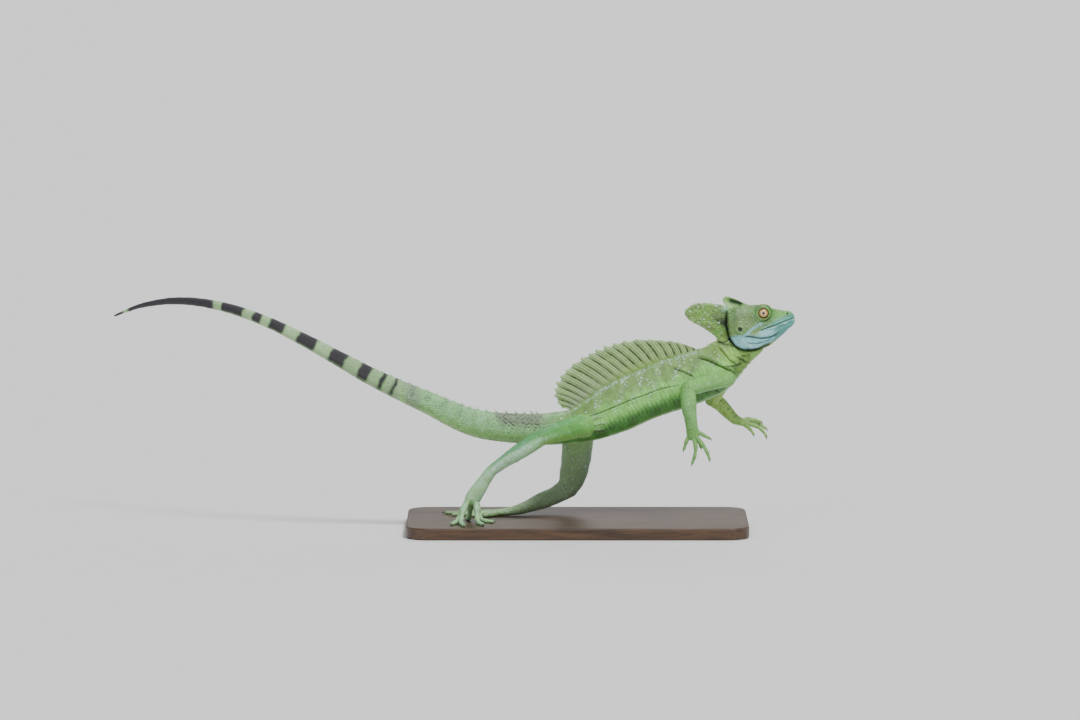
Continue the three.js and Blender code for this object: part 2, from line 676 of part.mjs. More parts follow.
// Everything that is cut against the trunk or the head.
const trunkGrown = spinePiece(PELVIS - 1.5, SPINE.length - 1, 24, 2, GAP);
const headPlace = new THREE.Matrix4().compose(
  point(HEAD.x, 0, HEAD.z),
  new THREE.Quaternion().setFromEuler(new THREE.Euler(0, -HEAD.pitch, 0)),
  point(1, 1, 1),
);
const headGrown = headLoft(GAP);
const headGrownPlaced = headGrown.transform(headPlace.elements);

const animal = new THREE.Group();

// Neck, chest, abdomen and pelvis.
const neckSpikes = spikeRow(NAPE_SPIKES, CUTS.neck, CUTS.neckTop);
const neck = neckSpikes
  .reduce((sum, s) => sum.add(s), spineNode(CUTS.neck, CUTS.neckTop, 24, 2.5))
  .subtract(headGrownPlaced);
animal.add(
  meshOf("neck", neck, SKIN_GREEN),
  meshOf("chest", spineNode(CUTS.chest, CUTS.neck, 24, 2), SKIN_GREEN),
  meshOf("abdomen", spineNode(CUTS.abdomen, CUTS.chest, 24, 2), SKIN_GREEN),
  meshOf("pelvis", spineNode(TAIL_CUTS[0], CUTS.abdomen, 24, 2), SKIN_GREEN),
);

// The tail in lengths, each with its spikes.
TAIL_CUTS.slice(1).forEach((low, i) => {
  const high = TAIL_CUTS[i];
  const sides = [18, 16, 14, 12, 10][i];
  const body = spineNode(low, high, sides, 3);
  const solid = spikeRow(TAIL_SPIKES, low, high).reduce((sum, s) => sum.add(s), body);
  animal.add(meshOf(`tail_${i + 1}`, solid, TAIL_GREY));
});

animal.add(meshOf("dorsal_sail", sail().subtract(trunkGrown), SAIL_GREEN));

// A limb in three nodes, cut at its joints; the first meets the trunk.
function addLimb(limb, names) {
  const upperJoint = jointPlane(limb.upper, limb.fore);
  const lowerJoint = jointPlane(limb.fore, limb.palm);
  const upper = keepBefore(segment(limb.upper), upperJoint).subtract(trunkGrown);
  const fore = keepBefore(keepAfter(segment(limb.fore), upperJoint), lowerJoint);
  const digits = limb.digits.map((places) => digit(places, limb.root, limb.tip));
  const hand = digits.reduce((sum, d) => sum.add(d), segment(limb.palm, 10, 2));
  const flat = keepAfter(hand, lowerJoint).trimByPlane([0, 0, 1], GAP);
  [upper, fore.trimByPlane([0, 0, 1], GAP), flat].forEach((solid, i) =>
    animal.add(meshOf(names[i], solid, LIMB_GREEN)),
  );
}
addLimb(RIGHT_ARM, ["right_upper_arm", "right_forearm", "right_hand"]);
addLimb(LEFT_ARM, ["left_upper_arm", "left_forearm", "left_hand"]);
addLimb(RIGHT_LEG, ["right_thigh", "right_shin", "right_foot"]);
addLimb(LEFT_LEG, ["left_thigh", "left_shin", "left_foot"]);

// The head with its eyes and crests, turned as one.
const head = new THREE.Group();
head.applyMatrix4(headPlace);
const bodyToHead = headPlace.clone().invert().elements;
const neckInHead = spinePiece(CUTS.neck, CUTS.neckTop, 24, 2.5, GAP).transform(bodyToHead);
const rearCrest = crest(REAR_CREST_ROWS, 0).subtract(headGrown).subtract(neckInHead);
const frontCrest = crest(FRONT_CREST_ROWS, FRONT_CREST_LEAN, FRONT_CREST_CUP).subtract(headGrown);
head.add(
  meshOf("head", headSolid(), SKIN_GREEN),
  meshOf("rear_crest", rearCrest, SAIL_GREEN),
  meshOf("front_crest", frontCrest.subtract(crest(REAR_CREST_ROWS, 0)), SAIL_GREEN),
);
for (const [name, hand] of [["left_eye", 1], ["right_eye", -1]]) {
  const eye = shapeSolid(new THREE.SphereGeometry(EYE.radius, 14, 10), [EYE.x, hand * EYE.y, EYE.z]);
  head.add(meshOf(name, eye, EYE_GOLD));
}
animal.add(head);

// The display base, a plate with round corners and eased edges.
function basePlate() {
  const { length, width, thickness, corner, bevel } = BASE;
  const [w, h] = [length / 2 - bevel, width / 2 - bevel];
  const outline = new THREE.Shape();
  outline.moveTo(-w + corner, -h);
  outline.lineTo(w - corner, -h);
  outline.absarc(w - corner, -h + corner, corner, -Math.PI / 2, 0);
  outline.absarc(w - corner, h - corner, corner, 0, Math.PI / 2);
  outline.absarc(-w + corner, h - corner, corner, Math.PI / 2, Math.PI);
  outline.absarc(-w + corner, -h + corner, corner, Math.PI, Math.PI * 1.5);
  return new THREE.ExtrudeGeometry(outline, {
    depth: thickness - 2 * bevel,
    bevelThickness: bevel,
    bevelSize: bevel,
    bevelSegments: 1,
    curveSegments: 5,
  });
}
const standBase = shapeSolid(basePlate(), [BASE.centreX, 0, BASE.bevel - BASE.thickness]);
animal.add(meshOf("stand_base", standBase, BASE_DARK));

// The part's origin is at the middle of its outline, at the bottom of the base.
const part = new THREE.Group();
part.add(animal);
const around = new THREE.Box3().setFromObject(part);
const middle = around.getCenter(point(0, 0, 0));
animal.position.set(-middle.x, -middle.y, -around.min.z);

export default part;
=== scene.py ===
# The looks of a running green basilisk on a display base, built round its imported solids.
import itertools
import math

import bmesh
import bpy
import numpy as np
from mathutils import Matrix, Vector
from mathutils.bvhtree import BVHTree


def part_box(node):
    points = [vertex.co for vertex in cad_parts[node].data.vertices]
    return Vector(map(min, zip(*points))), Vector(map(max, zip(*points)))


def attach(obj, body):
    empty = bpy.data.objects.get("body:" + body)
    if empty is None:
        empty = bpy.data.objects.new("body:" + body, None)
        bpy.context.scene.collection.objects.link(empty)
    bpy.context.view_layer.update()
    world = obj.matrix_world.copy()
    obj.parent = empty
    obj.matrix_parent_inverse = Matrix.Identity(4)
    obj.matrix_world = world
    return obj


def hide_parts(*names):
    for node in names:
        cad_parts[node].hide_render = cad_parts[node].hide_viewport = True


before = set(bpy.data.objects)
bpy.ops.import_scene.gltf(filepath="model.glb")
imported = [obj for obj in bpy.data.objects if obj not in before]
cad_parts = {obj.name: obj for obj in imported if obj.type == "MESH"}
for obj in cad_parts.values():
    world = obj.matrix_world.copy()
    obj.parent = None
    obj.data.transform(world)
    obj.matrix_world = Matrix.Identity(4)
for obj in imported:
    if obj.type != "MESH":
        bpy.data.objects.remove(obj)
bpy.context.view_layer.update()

bl_info = {
    "name": "Green Basilisk Model",
    "version": (1, 0, 0),
    "blender": (4, 5, 0),
    "location": "3D View > Sidebar > Basilisk",
    "description": "Builds the skin, scales, crests, eyes and base of a life-size running basilisk",
    "category": "Add Mesh",
}

# The animal is laid out in millimetres with z = 0 at the top of the base, as its solids are.
MM = 0.001
BASE = {"low_x": -143.0, "low_y": -75.0, "thickness": 10.0, "length": 290.0, "width": 150.0}
_base_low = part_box("stand_base")[0]
ORIGIN = np.array([
    _base_low.x / MM - BASE["low_x"],
    _base_low.y / MM - BASE["low_y"],
    _base_low.z / MM + BASE["thickness"],
])

# The trunk from the tail's tip to the neck: x, y, z of the middle, then half height above it,
# half height below it and half width.
TAIL_ROWS = [
    (-397, 98, 163.2, 0.6, 0.6, 0.6),
    (-370, 77, 174.6, 1.9, 1.9, 1.5),
    (-336, 50, 180.6, 2.9, 2.9, 2.1),
    (-297, 24, 177.4, 3.7, 3.7, 2.6),
    (-255, 3, 164.2, 4.3, 4.3, 3.0),
    (-212, -9, 143.3, 5.4, 5.4, 3.7),
    (-170, -13.5, 120.6, 7.0, 7.0, 4.7),
    (-127, -13, 100.8, 8.7, 8.7, 5.8),
    (-85, -9, 82.1, 10.9, 11.1, 7.2),
    (-38, -3, 76.4, 11.9, 12.6, 9.4),
]
TRUNK_ROWS = [
    (-14, -1, 77.2, 12.8, 13.8, 11.2),
    (0, 0, 78.6, 14.5, 14.8, 12.6),
    (17, 0, 85, 17.8, 18.2, 14.6),
    (38, 0, 95.7, 21.0, 21.5, 16.8),
    (59.5, 0, 105.1, 21.4, 21.2, 17.6),
    (79.5, 0, 112.8, 22.0, 22.0, 17.4),
    (100, 0, 119.7, 21.8, 21.8, 16.4),
    (116.5, 0, 126.2, 20.4, 20.8, 15.2),
    (127, 0, 135, 17.6, 18.4, 13.0),
    (137, 0, 146, 14.0, 17.8, 11.8),
    (146, 0, 156, 11.0, 18.6, 10.6),
]
SPINE = np.array(TAIL_ROWS + TRUNK_ROWS, float)
PELVIS = len(TAIL_ROWS)
TRUNK_KEEL = 0.24  # how much narrower a section is near its top than near its belly
HIP_X = -14  # where the tail meets the hips

# The head in its own frame: x runs from the jaw joint to the snout, z is up.
HEAD = {"x": 138.6, "z": 161.5, "pitch": math.radians(10)}
# Along x: crown height, brow half width and height, cheek half width and height,
# lip half width and height, jaw half width and height, throat height.
HEAD_ROWS = np.array([
    (-8.2, 8, 4.5, 6, 6.5, 1, 6.5, -4.5, 5, -9, -11),
    (-6, 14, 7.6, 12, 10.8, 3, 11, -5, 9, -12, -15.4),
    (0, 18.2, 9.2, 15.5, 14, 4, 14.8, -5.4, 13.2, -14.6, -18.8),
    (6, 18.9, 9.4, 16.2, 14.4, 3.4, 15.2, -5.2, 14.4, -15.4, -20.4),
    (12, 18.2, 9.4, 15.8, 13.4, 2.8, 14.2, -4.5, 13.6, -14.8, -20.7),
    (18, 17, 9.4, 15.6, 11.8, 2.8, 12.4, -3.5, 12, -12.8, -20.2),
    (24, 15.8, 8.8, 14.2, 10.6, 3.2, 11.2, -2.5, 10.6, -10.4, -18.4),
    (30, 13.0, 7.2, 11.4, 9.2, 3.6, 10, -1.6, 9.1, -8.4, -15),
    (36, 10.3, 5.8, 8.9, 7.8, 3.6, 8.6, -0.5, 7.4, -6.4, -11.4),
    (42, 8.4, 4.8, 7.2, 6.2, 3.6, 6.8, 0.6, 5.6, -4.4, -7.4),
    (46, 7.0, 3.7, 5.9, 4.6, 3.4, 5, 1.2, 4, -3.0, -4.9),
    (48.4, 4.8, 1.7, 4.2, 2.2, 2.8, 2.3, 1.4, 1.8, -1.0, -2.2),
], float)
EYE = {"x": 23.4, "y": 6.6, "z": 10.6, "radius": 5.6}
ORBIT = {"x": 23.0, "y": 6.6, "z": 10.6, "length": 7.8, "depth": 4.6, "height": 6.1}
LID = {"y": 10.2, "radius": 4.9, "thick": 0.85, "lean": math.radians(12)}
MOUTH = {"corner": 17.5, "tip": 49}
NOSTRIL = {"x": 43.4, "z": 6.3, "radius": 0.8}
EAR = {"x": 1.4, "z": 0.8, "radius": 2.1}

# The two crests of the head, in the head's frame: x, lower edge, upper edge and half thickness.
REAR_CREST_ROWS = np.array([
    (-3, -6, 17, 3.4),
    (-10, -13.2, 22.4, 2.9),
    (-16, -8.6, 24.5, 2.1),
    (-22, -1.2, 26.2, 1.6),
    (-28, 5.2, 27.5, 1.3),
    (-34, 10.4, 27.3, 1.1),
    (-38.5, 13.8, 25.6, 0.9),
    (-41.2, 17, 23.6, 0.7),
    (-42.4, 19.6, 21.4, 0.4),
], float)
FRONT_CREST_ROWS = np.array([
    (13, 16.2, 18.4, 0.9),
    (8, 16, 21.2, 1.2),
    (3, 16, 24.8, 1.3),
    (-1.5, 16.4, 27.4, 1.2),
    (-5, 19.2, 28.8, 1.0),
    (-7.4, 22.6, 28.4, 0.7),
    (-8.6, 24.6, 27, 0.4),
], float)
FRONT_CREST_LEAN = math.radians(-14)
FRONT_CREST_CUP = 2.4
CREST_REAR = -46  # the head's x behind which nothing is crest
HEAD_LOWEST = 128  # height under which nothing is head
GROOVE_LOWEST = 125  # height under which the head's groove and its shadows stop

# The sail on the back: where its rays start along the spine, and where they end, as x and z of
# every second tip from the neck to the hips.
SAIL = {"rays": 21, "front": PELVIS + 6.55, "rear": PELVIS + 1.05, "sink": 2.6, "bow": 1.4}
SAIL_EDGE = np.array([
    (100.5, 145.6), (87.5, 150.4), (73, 152.4), (52.5, 153), (33, 149.6), (17.8, 143.8), (5, 137),
    (-7.8, 127.2), (-15.8, 116), (-17.6, 104.6), (-11.5, 93.6),
], float)

# The rows of small spikes on the tail and on the nape.
SPIKE_ROWS = (
    {"count": 26, "from": PELVIS - 0.75, "to": PELVIS - 5.1, "height": 3.9, "least": 1.3,
     "length": 4.6, "width": 1.6},
    {"count": 12, "from": PELVIS + 8.45, "to": PELVIS + 6.7, "height": 2.5, "least": 1.9,
     "length": 3.2, "width": 1.4},
)
SPIKE_ROOT = 1.4  # how deep the spikes are set

# Limbs: x, y, z, then half thickness seen from the side and half width towards the side.
LIMBS = {
    "right_arm": {
        "upper": [(129, -8, 121.5, 8.6, 7.4), (119, -16.5, 119.4, 7.4, 7.0), (107.5, -22.5, 116.6, 6.7, 6.5),
                  (95.4, -28, 113.2, 6.2, 6.0)],
        "fore": [(95.4, -28, 113.2, 6.2, 6.0), (96, -30.6, 101.5, 6.5, 6.0), (97.6, -30.6, 88.5, 5.2, 4.6),
                 (98.9, -30, 80.6, 4.9, 3.8)],
        "palm": [(98.9, -30, 80.6, 4.9, 3.8), (99.6, -29.6, 75.6, 5.3, 3.0), (100, -29.6, 72, 4.4, 2.3)],
        "digits": [
            [(97.6, -29, 75.5), (94.4, -29, 69), (92.2, -28.4, 62), (91.2, -27.6, 59)],
            [(99.6, -30, 74), (102, -32, 64.5), (101.2, -32.2, 56.5), (99.2, -31, 50.4), (98.2, -29.6, 47)],
            [(101.6, -30, 74.5), (107.4, -32.6, 67), (111.6, -33.6, 60.2), (113.8, -33.4, 54),
             (114.2, -32.4, 50.8)],
            [(102, -29.5, 78), (108.4, -31, 74.4), (113.6, -32, 71.8), (116.4, -32, 69.8)],
            [(100.4, -28.5, 75.5), (104.6, -21, 68.4), (106.8, -15.6, 62), (107.4, -13.2, 59)],
        ],
        "root": 1.9, "tip": 1.15,
    },
    "left_arm": {
        "upper": [(127, 8, 119.5, 8.2, 7.4), (122.6, 24, 108.4, 6.8, 6.5), (117.4, 38, 97.4, 6.0, 5.8)],
        "fore": [(117.4, 38, 97.4, 6.0, 5.8), (124.4, 43, 92.4, 6.0, 5.6), (131.6, 48.6, 84.4, 5.0, 4.6),
                 (137.2, 52, 78.6, 4.3, 3.9)],
        "palm": [(137.2, 52, 78.6, 4.3, 3.9), (143, 54, 76, 3.3, 5.0), (147.4, 55.2, 75, 2.6, 4.6)],
        "digits": [
            [(145, 56.6, 76), (153, 60, 77.2), (159.8, 62, 75.4), (162.4, 62.6, 72.8)],
            [(146, 54.4, 75), (155.4, 56, 72.2), (160.8, 57, 68.6), (164.8, 57.2, 63.4), (164.6, 57.2, 59.8)],
            [(146, 56.8, 75.6), (156.4, 63.6, 74), (164.4, 67.2, 69), (166.8, 68, 66)],
            [(144.6, 52.4, 74.6), (150, 49.4, 70.6), (153.4, 48.2, 66.4), (153.8, 48, 63)],
            [(143, 57.4, 76.4), (149.6, 66, 77.4), (155, 72.6, 74.4), (156.8, 74.8, 71.8)],
        ],
        "root": 1.85, "tip": 1.1,
    },
    "right_leg": {
        "upper": [(12, -4, 80, 10.5, 10.5), (2, -16, 79.6, 9.4, 9.6), (-10, -28, 77.6, 8.4, 8.8),
                  (-21, -37, 75.4, 7.2, 7.6), (-29, -43, 73, 6.3, 6.4)],
        "fore": [(-29, -43, 73, 6.3, 6.4), (-38, -43, 67.4, 6.6, 6.6), (-49, -42, 60.4, 6.5, 6.2),
                 (-62.5, -39, 51, 5.0, 4.8), (-71.4, -37, 44, 4.6, 4.4)],
        "palm": [(-71.4, -37, 44, 4.6, 4.4), (-77, -36, 35.6, 5.3, 3.8), (-82.6, -34.6, 27, 6.1, 3.6),
                 (-87, -33.4, 20, 6.4, 3.2), (-88.4, -33, 17.4, 5.4, 2.4)],
        "digits": [
            [(-90, -32, 21), (-95.4, -34, 11), (-99, -38, 3), (-102, -46, 1.5), (-104.4, -54, 1.5),
             (-105.4, -58, 0.9)],
            [(-89.6, -34, 21), (-94.6, -38, 11), (-96.6, -44, 3), (-95.8, -53, 1.5), (-94, -63, 1.5),
             (-93.4, -67, 0.9)],
            [(-84.6, -33.4, 21), (-83.2, -36, 12), (-82.8, -41, 3.4), (-80.8, -49, 1.5), (-78, -57, 1.5),
             (-76.8, -61, 0.9)],
            [(-84.4, -31.6, 21.5), (-82.4, -29, 12), (-80.4, -31, 3.4), (-75.6, -35, 1.5), (-70, -38.6, 1.5),
             (-66.4, -40.4, 0.9)],
            [(-87.6, -30.6, 21), (-88.8, -25, 11.5), (-90, -21.4, 3), (-91, -17.6, 1.5), (-92, -14, 1.5),
             (-92.4, -11, 0.9)],
        ],
        "root": 2.5, "tip": 1.35,
    },
    "left_leg": {
        "upper": [(4, 3, 78, 13.0, 9.5), (2.4, 14, 63, 13.0, 8.8), (0.8, 22.5, 46, 12.4, 8.4),
                  (-2, 28.4, 31.6, 11.2, 8.0), (-5.4, 30.6, 22.6, 9.2, 7.6)],
        "fore": [(-5.4, 30.6, 22.6, 9.2, 7.6), (-15.5, 27.4, 16.4, 7.4, 7.0), (-28.5, 22, 11.6, 6.9, 6.2),
                 (-39.6, 16.4, 7.8, 5.2, 5.0), (-47.4, 13, 5.4, 4.3, 4.4)],
        "palm": [(-47.4, 13, 5.4, 4.3, 4.4), (-56, 11.6, 3.8, 3.3, 4.8), (-65, 11.4, 3.0, 2.7, 5.6),
                 (-72, 11.8, 2.6, 2.2, 5.6), (-74, 12, 2.4, 1.8, 4.6)],
        "digits": [
            [(-66, 8.6, 2.6), (-72.4, 3.2, 2.2), (-77.4, -0.8, 1.6), (-80.4, -2.6, 1.0)],
            [(-70, 8.8, 2.6), (-80, 4.6, 2.2), (-88, 2.4, 1.6), (-91.6, 1.6, 1.0)],
            [(-71, 10.8, 2.6), (-84, 9.6, 2.2), (-97, 9.8, 1.7), (-104, 10.2, 1.5), (-108, 10.4, 0.9)],
            [(-71, 13, 2.6), (-86, 15.4, 2.2), (-99, 19, 1.7), (-110, 22, 1.5), (-114, 23.2, 0.9)],
            [(-67, 15.2, 2.6), (-76, 23.4, 2.2), (-83.6, 30.4, 1.6), (-86.6, 33, 1.0)],
        ],
        "root": 2.4, "tip": 1.35,
    },
}


# Curves and sections

def rows_at(rows, t):
    """Numbers between the rows of a table, by a smooth curve through them; t counts rows."""
    rows = np.asarray(rows, float)
    t = np.atleast_1d(np.asarray(t, float))
    i = np.clip(np.floor(t).astype(int), 0, len(rows) - 2)
    f = (t - i)[:, None]
    p0, p1, p2, p3 = (rows[np.clip(i + k, 0, len(rows) - 1)] for k in (-1, 0, 1, 2))
    v1, v2 = (p2 - p0) / 2, (p3 - p1) / 2
    return ((2 * p1 - 2 * p2 + v1 + v2) * f + (3 * p2 - 3 * p1 - 2 * v1 - v2)) * f * f + v1 * f + p1


def unit(vectors):
    return vectors / np.maximum(np.linalg.norm(vectors, axis=-1, keepdims=True), 1e-9)


def sections(rows, t):
    """Middle, way along, way to the side and way up of a table's sections, and its numbers there."""
    rows = np.asarray(rows, float)
    t = np.atleast_1d(np.asarray(t, float))
    step, end = 0.02, len(rows) - 1
    row = rows_at(rows, t)
    along = unit((rows_at(rows, np.minimum(t + step, end)) - rows_at(rows, np.maximum(t - step, 0)))[:, :3])
    side = np.tile([0.0, 1.0, 0.0], (len(t), 1))
    side = unit(side - along * np.sum(side * along, axis=1, keepdims=True))
    up = np.cross(side, along)
    flip = (up[:, 2] < 0) | ((np.abs(up[:, 2]) < 1e-6) & (up[:, 0] < 0))
    up[flip] *= -1
    return row[:, :3], along, side, up, row


def ring_quads(count, sides, closed=False):
    """Quads between rings of points, with the last ring joined to the first where closed."""
    k, next_k = np.arange(sides), (np.arange(sides) + 1) % sides
    r = np.arange(count if closed else count - 1)[:, None]
    here, after = r * sides, (r + 1) % count * sides
    return np.stack([here + k, here + next_k, after + next_k, after + k], axis=-1).reshape(-1, 4)


def tube(rings):
    """Points and quads of a closed tube through rings of points, pinched shut at both ends."""
    pinched = [end.mean(axis=1, keepdims=True) * 0.999 + end * 0.001 for end in (rings[:1], rings[-1:])]
    rings = np.concatenate([pinched[0], rings, pinched[1]])
    return rings.reshape(-1, 3), ring_quads(*rings.shape[:2])


def oval_rings(middle, side, up, above, below, half, sides, keel=0.0):
    """Rings of an oval with its own half heights above and below, narrower at the top by keel."""
    angle = np.linspace(0, 2 * np.pi, sides, endpoint=False)[None, :]
    high = np.sin(angle)
    keel = np.broadcast_to(np.asarray(keel, float).reshape(-1, 1), (len(middle), 1))
    across = np.cos(angle) * half[:, None] * (1 - keel * high)
    rise = high * np.where(high > 0, above[:, None], below[:, None])
    return middle[:, None] + side[:, None] * across[..., None] + up[:, None] * rise[..., None]


def smoothstep(x, low, high):
    f = np.clip((x - low) / (high - low), 0, 1)
    return f * f * (3 - 2 * f)


def bell(x, middle, width):
    return np.exp(-(((x - middle) / width) ** 2))


def spine_keel(t):
    return TRUNK_KEEL * smoothstep(t, PELVIS - 1.5, PELVIS + 2)


def trunk_tube(sides=64, per_row=12):
    t = np.linspace(0, len(SPINE) - 1, (len(SPINE) - 1) * per_row + 1)
    middle, _, side, up, row = sections(SPINE, t)
    return tube(oval_rings(middle, side, up, *row[:, 3:6].T, sides, spine_keel(t)))


def segment_tube(rows, sides=40, per_row=10):
    """A limb's segment with rounded ends."""
    rows = np.asarray(rows, float)
    end = len(rows) - 1
    t = np.linspace(0, end, end * per_row + 1)
    bends = np.radians([88, 75, 60, 45, 30, 15])
    shift = np.concatenate([-np.sin(bends), np.zeros(len(t)), np.sin(bends[::-1])])
    scale = np.concatenate([np.cos(bends), np.ones(len(t)), np.cos(bends[::-1])])
    t = np.concatenate([np.zeros(len(bends)), t, np.full(len(bends), end)])
    middle, along, side, up, row = sections(rows, t)
    round_end = np.minimum(row[:, 3], row[:, 4])
    middle = middle + along * (shift * round_end)[:, None]
    tall, wide = row[:, 3] * scale, row[:, 4] * scale
    return tube(oval_rings(middle, side, up, tall, tall, wide, sides))


def digit_rows(places, root, tip):
    """A digit's places with its thickness at each, up to where its claw starts."""
    last = len(places) - 2
    return [tuple(place) + (root + (tip - root) * min(i / last, 1),) * 2
            for i, place in enumerate(places[: last + 1])]


def digit_tube(places, root, tip, sides=20, per_row=10):
    """A finger or toe with a swelling at each joint."""
    rows = np.array(digit_rows(places, root, tip), float)
    end = len(rows) - 1
    t = np.linspace(0, end, end * per_row + 1)
    knuckle = 1 + 0.1 * np.cos(2 * np.pi * t)
    bends = np.radians([85, 65, 45, 25])
    shift = np.concatenate([np.zeros(len(t)), np.sin(bends[::-1])])
    scale = np.concatenate([knuckle, np.cos(bends[::-1])])
    t = np.concatenate([t, np.full(len(bends), end)])
    middle, along, side, up, row = sections(rows, t)
    middle = middle + along * (shift * row[:, 3])[:, None]
    radius = row[:, 3] * scale
    return tube(oval_rings(middle, side, up, radius, radius, radius, sides))


def head_to_body(points):
    """Places in the head's frame, moved into the animal's."""
    c, s = math.cos(HEAD["pitch"]), math.sin(HEAD["pitch"])
    x, y, z = points[..., 0], points[..., 1], points[..., 2]
    return np.stack([HEAD["x"] + x * c - z * s, y, HEAD["z"] + x * s + z * c], axis=-1)


def body_to_head(points):
    c, s = math.cos(HEAD["pitch"]), math.sin(HEAD["pitch"])
    x, y, z = points[..., 0] - HEAD["x"], points[..., 1], points[..., 2] - HEAD["z"]
    return np.stack([x * c + z * s, y, -x * s + z * c], axis=-1)


def head_outline(t, per_span):
    """One closed section of the head, as points in the head's frame."""
    x, crown, brow_y, brow_z, cheek_y, cheek_z, lip_y, lip_z, jaw_y, jaw_z, throat = rows_at(HEAD_ROWS, t)[0]
    half = [
        (0, crown), (brow_y * 0.6, crown * 0.7 + brow_z * 0.3), (brow_y, brow_z), (cheek_y, cheek_z),
        (lip_y, lip_z), (jaw_y, jaw_z), (jaw_y * 0.55, jaw_z * 0.28 + throat * 0.72), (0, throat),
    ]
    outline = np.array(half + [(-y, z) for y, z in half[-2:0:-1]], float)
    wrapped = np.concatenate([outline[-1:], outline, outline[:2]])
    t = 1 + np.arange(len(outline) * per_span) / per_span
    yz = rows_at(wrapped, t)
    return np.column_stack([np.full(len(yz), x), yz])


def head_tube(per_span=8, per_row=10):
    t = np.linspace(0, len(HEAD_ROWS) - 1, (len(HEAD_ROWS) - 1) * per_row + 1)
    points, quads = tube(np.array([head_outline(value, per_span) for value in t]))
    return head_to_body(points), quads


def ball(centre, radii, sides=32, rings=20):
    angle = np.linspace(0, np.pi, rings + 2)[1:-1]
    around = np.linspace(0, 2 * np.pi, sides, endpoint=False)
    rings_of = np.stack([
        np.sin(angle)[:, None] * np.cos(around),
        np.sin(angle)[:, None] * np.sin(around),
        np.repeat(np.cos(angle)[:, None], sides, axis=1),
    ], axis=-1)
    points, quads = tube(rings_of)
    return np.asarray(centre, float) + points * np.asarray(radii, float), quads


def ring_about_y(centre, radius, thick, lean, sides=64, rings=16):
    """A ring whose hole faces y, leaning about x."""
    around = np.linspace(0, 2 * np.pi, sides, endpoint=False)
    section = np.linspace(0, 2 * np.pi, rings, endpoint=False)
    out = radius + thick * np.cos(section)[:, None]
    x, z = out * np.cos(around), out * np.sin(around)
    y = np.repeat(thick * np.sin(section)[:, None], sides, axis=1)
    c, s = math.cos(lean), math.sin(lean)
    points = np.stack([x, y * c - z * s, y * s + z * c], axis=-1).reshape(-1, 3)
    return points + np.asarray(centre, float), ring_quads(rings, sides, closed=True)


# Meshes

def set_points(mesh, points):
    mesh.vertices.foreach_set("co", ((points + ORIGIN) * MM).astype(np.float32).ravel())
    mesh.update()


def object_of(mesh):
    made = bpy.data.objects.new(mesh.name, mesh)
    bpy.context.scene.collection.objects.link(made)
    return made


def mesh_from(name, points, faces):
    """A mesh object from points in millimetres and an array of triangles or quads."""
    faces = np.asarray(faces, np.int32)
    corners = faces.shape[1]
    mesh = bpy.data.meshes.new(name)
    mesh.vertices.add(len(points))
    set_points(mesh, points)
    mesh.loops.add(faces.size)
    mesh.loops.foreach_set("vertex_index", faces.ravel())
    mesh.polygons.add(len(faces))
    mesh.polygons.foreach_set("loop_start", np.arange(0, faces.size, corners, dtype=np.int32))
    mesh.update(calc_edges=True)
    mesh.validate()
    mesh.shade_smooth()
    return object_of(mesh)


def joined(shapes):
    """Several closed shapes as one list of points and one of quads."""
    points, faces, start = [], [], 0
    for p, q in shapes:
        points.append(p)
        faces.append(q + start)
        start += len(p)
    return np.concatenate(points), np.concatenate(faces)


def mesh_arrays(mesh):
    """A mesh's points in millimetres of the animal's frame, and its faces as an array of quads.
    A triangle repeats its last corner."""
    points = np.empty(len(mesh.vertices) * 3, np.float32)
    mesh.vertices.foreach_get("co", points)
    points = points.reshape(-1, 3).astype(float) / MM - ORIGIN
    start = np.empty(len(mesh.polygons), np.int32)
    total = np.empty(len(mesh.polygons), np.int32)
    mesh.polygons.foreach_get("loop_start", start)
    mesh.polygons.foreach_get("loop_total", total)
    corner = np.empty(len(mesh.loops), np.int32)
    mesh.loops.foreach_get("vertex_index", corner)
    return points, np.stack([corner[start + np.minimum(k, total - 1)] for k in range(4)], axis=1)


def edges_of(mesh):
    edges = np.empty(len(mesh.edges) * 2, np.int32)
    mesh.edges.foreach_get("vertices", edges)
    return edges.reshape(-1, 2)


def normals_of(points, quads):
    face = np.cross(points[quads[:, 2]] - points[quads[:, 0]], points[quads[:, 3]] - points[quads[:, 1]])
    total = np.zeros_like(points)
    for k in range(4):
        for c in range(3):
            total[:, c] += np.bincount(quads[:, k], weights=face[:, c], minlength=len(points))
    return unit(total)


def relaxed(points, edges, weight, rounds):
    """Points moved towards the mean of their neighbours and part of the way back each round,
    which smooths without thinning."""
    degree = np.maximum(np.bincount(edges.ravel(), minlength=len(points)), 1)[:, None]
    weight = np.broadcast_to(np.asarray(weight, float), (len(points),))[:, None]
    for share in [0.55, -0.57] * rounds:
        total = np.zeros_like(points)
        for a, b in ((0, 1), (1, 0)):
            for c in range(3):
                total[:, c] += np.bincount(edges[:, a], weights=points[edges[:, b], c], minlength=len(points))
        points = points + weight * share * (total / degree - points)
    return points


# Crests of the head

def crest_rings(rows, lean=0.0, cup=0.0, sides=48, per_row=8):
    """Upright sections of a thin crest, leaning sideways about the crown and hollow on its right face."""
    t = np.linspace(0, len(rows) - 1, (len(rows) - 1) * per_row + 1)
    x, low, high, half = rows_at(rows, t).T[..., None]
    angle = np.linspace(0, 2 * np.pi, sides, endpoint=False)
    share = 0.5 + 0.5 * np.sin(angle)
    z = low + (high - low) * share
    y = np.sign(np.cos(angle)) * np.abs(np.cos(angle)) ** 0.6 * half
    y = y - math.sin(lean) * np.maximum(z - rows[0][1], 0)
    y = y + cup * np.sin(np.pi * share) * np.sin(np.pi * t[:, None] / (len(rows) - 1))
    return np.stack([np.broadcast_to(x, z.shape), y, z], axis=-1)


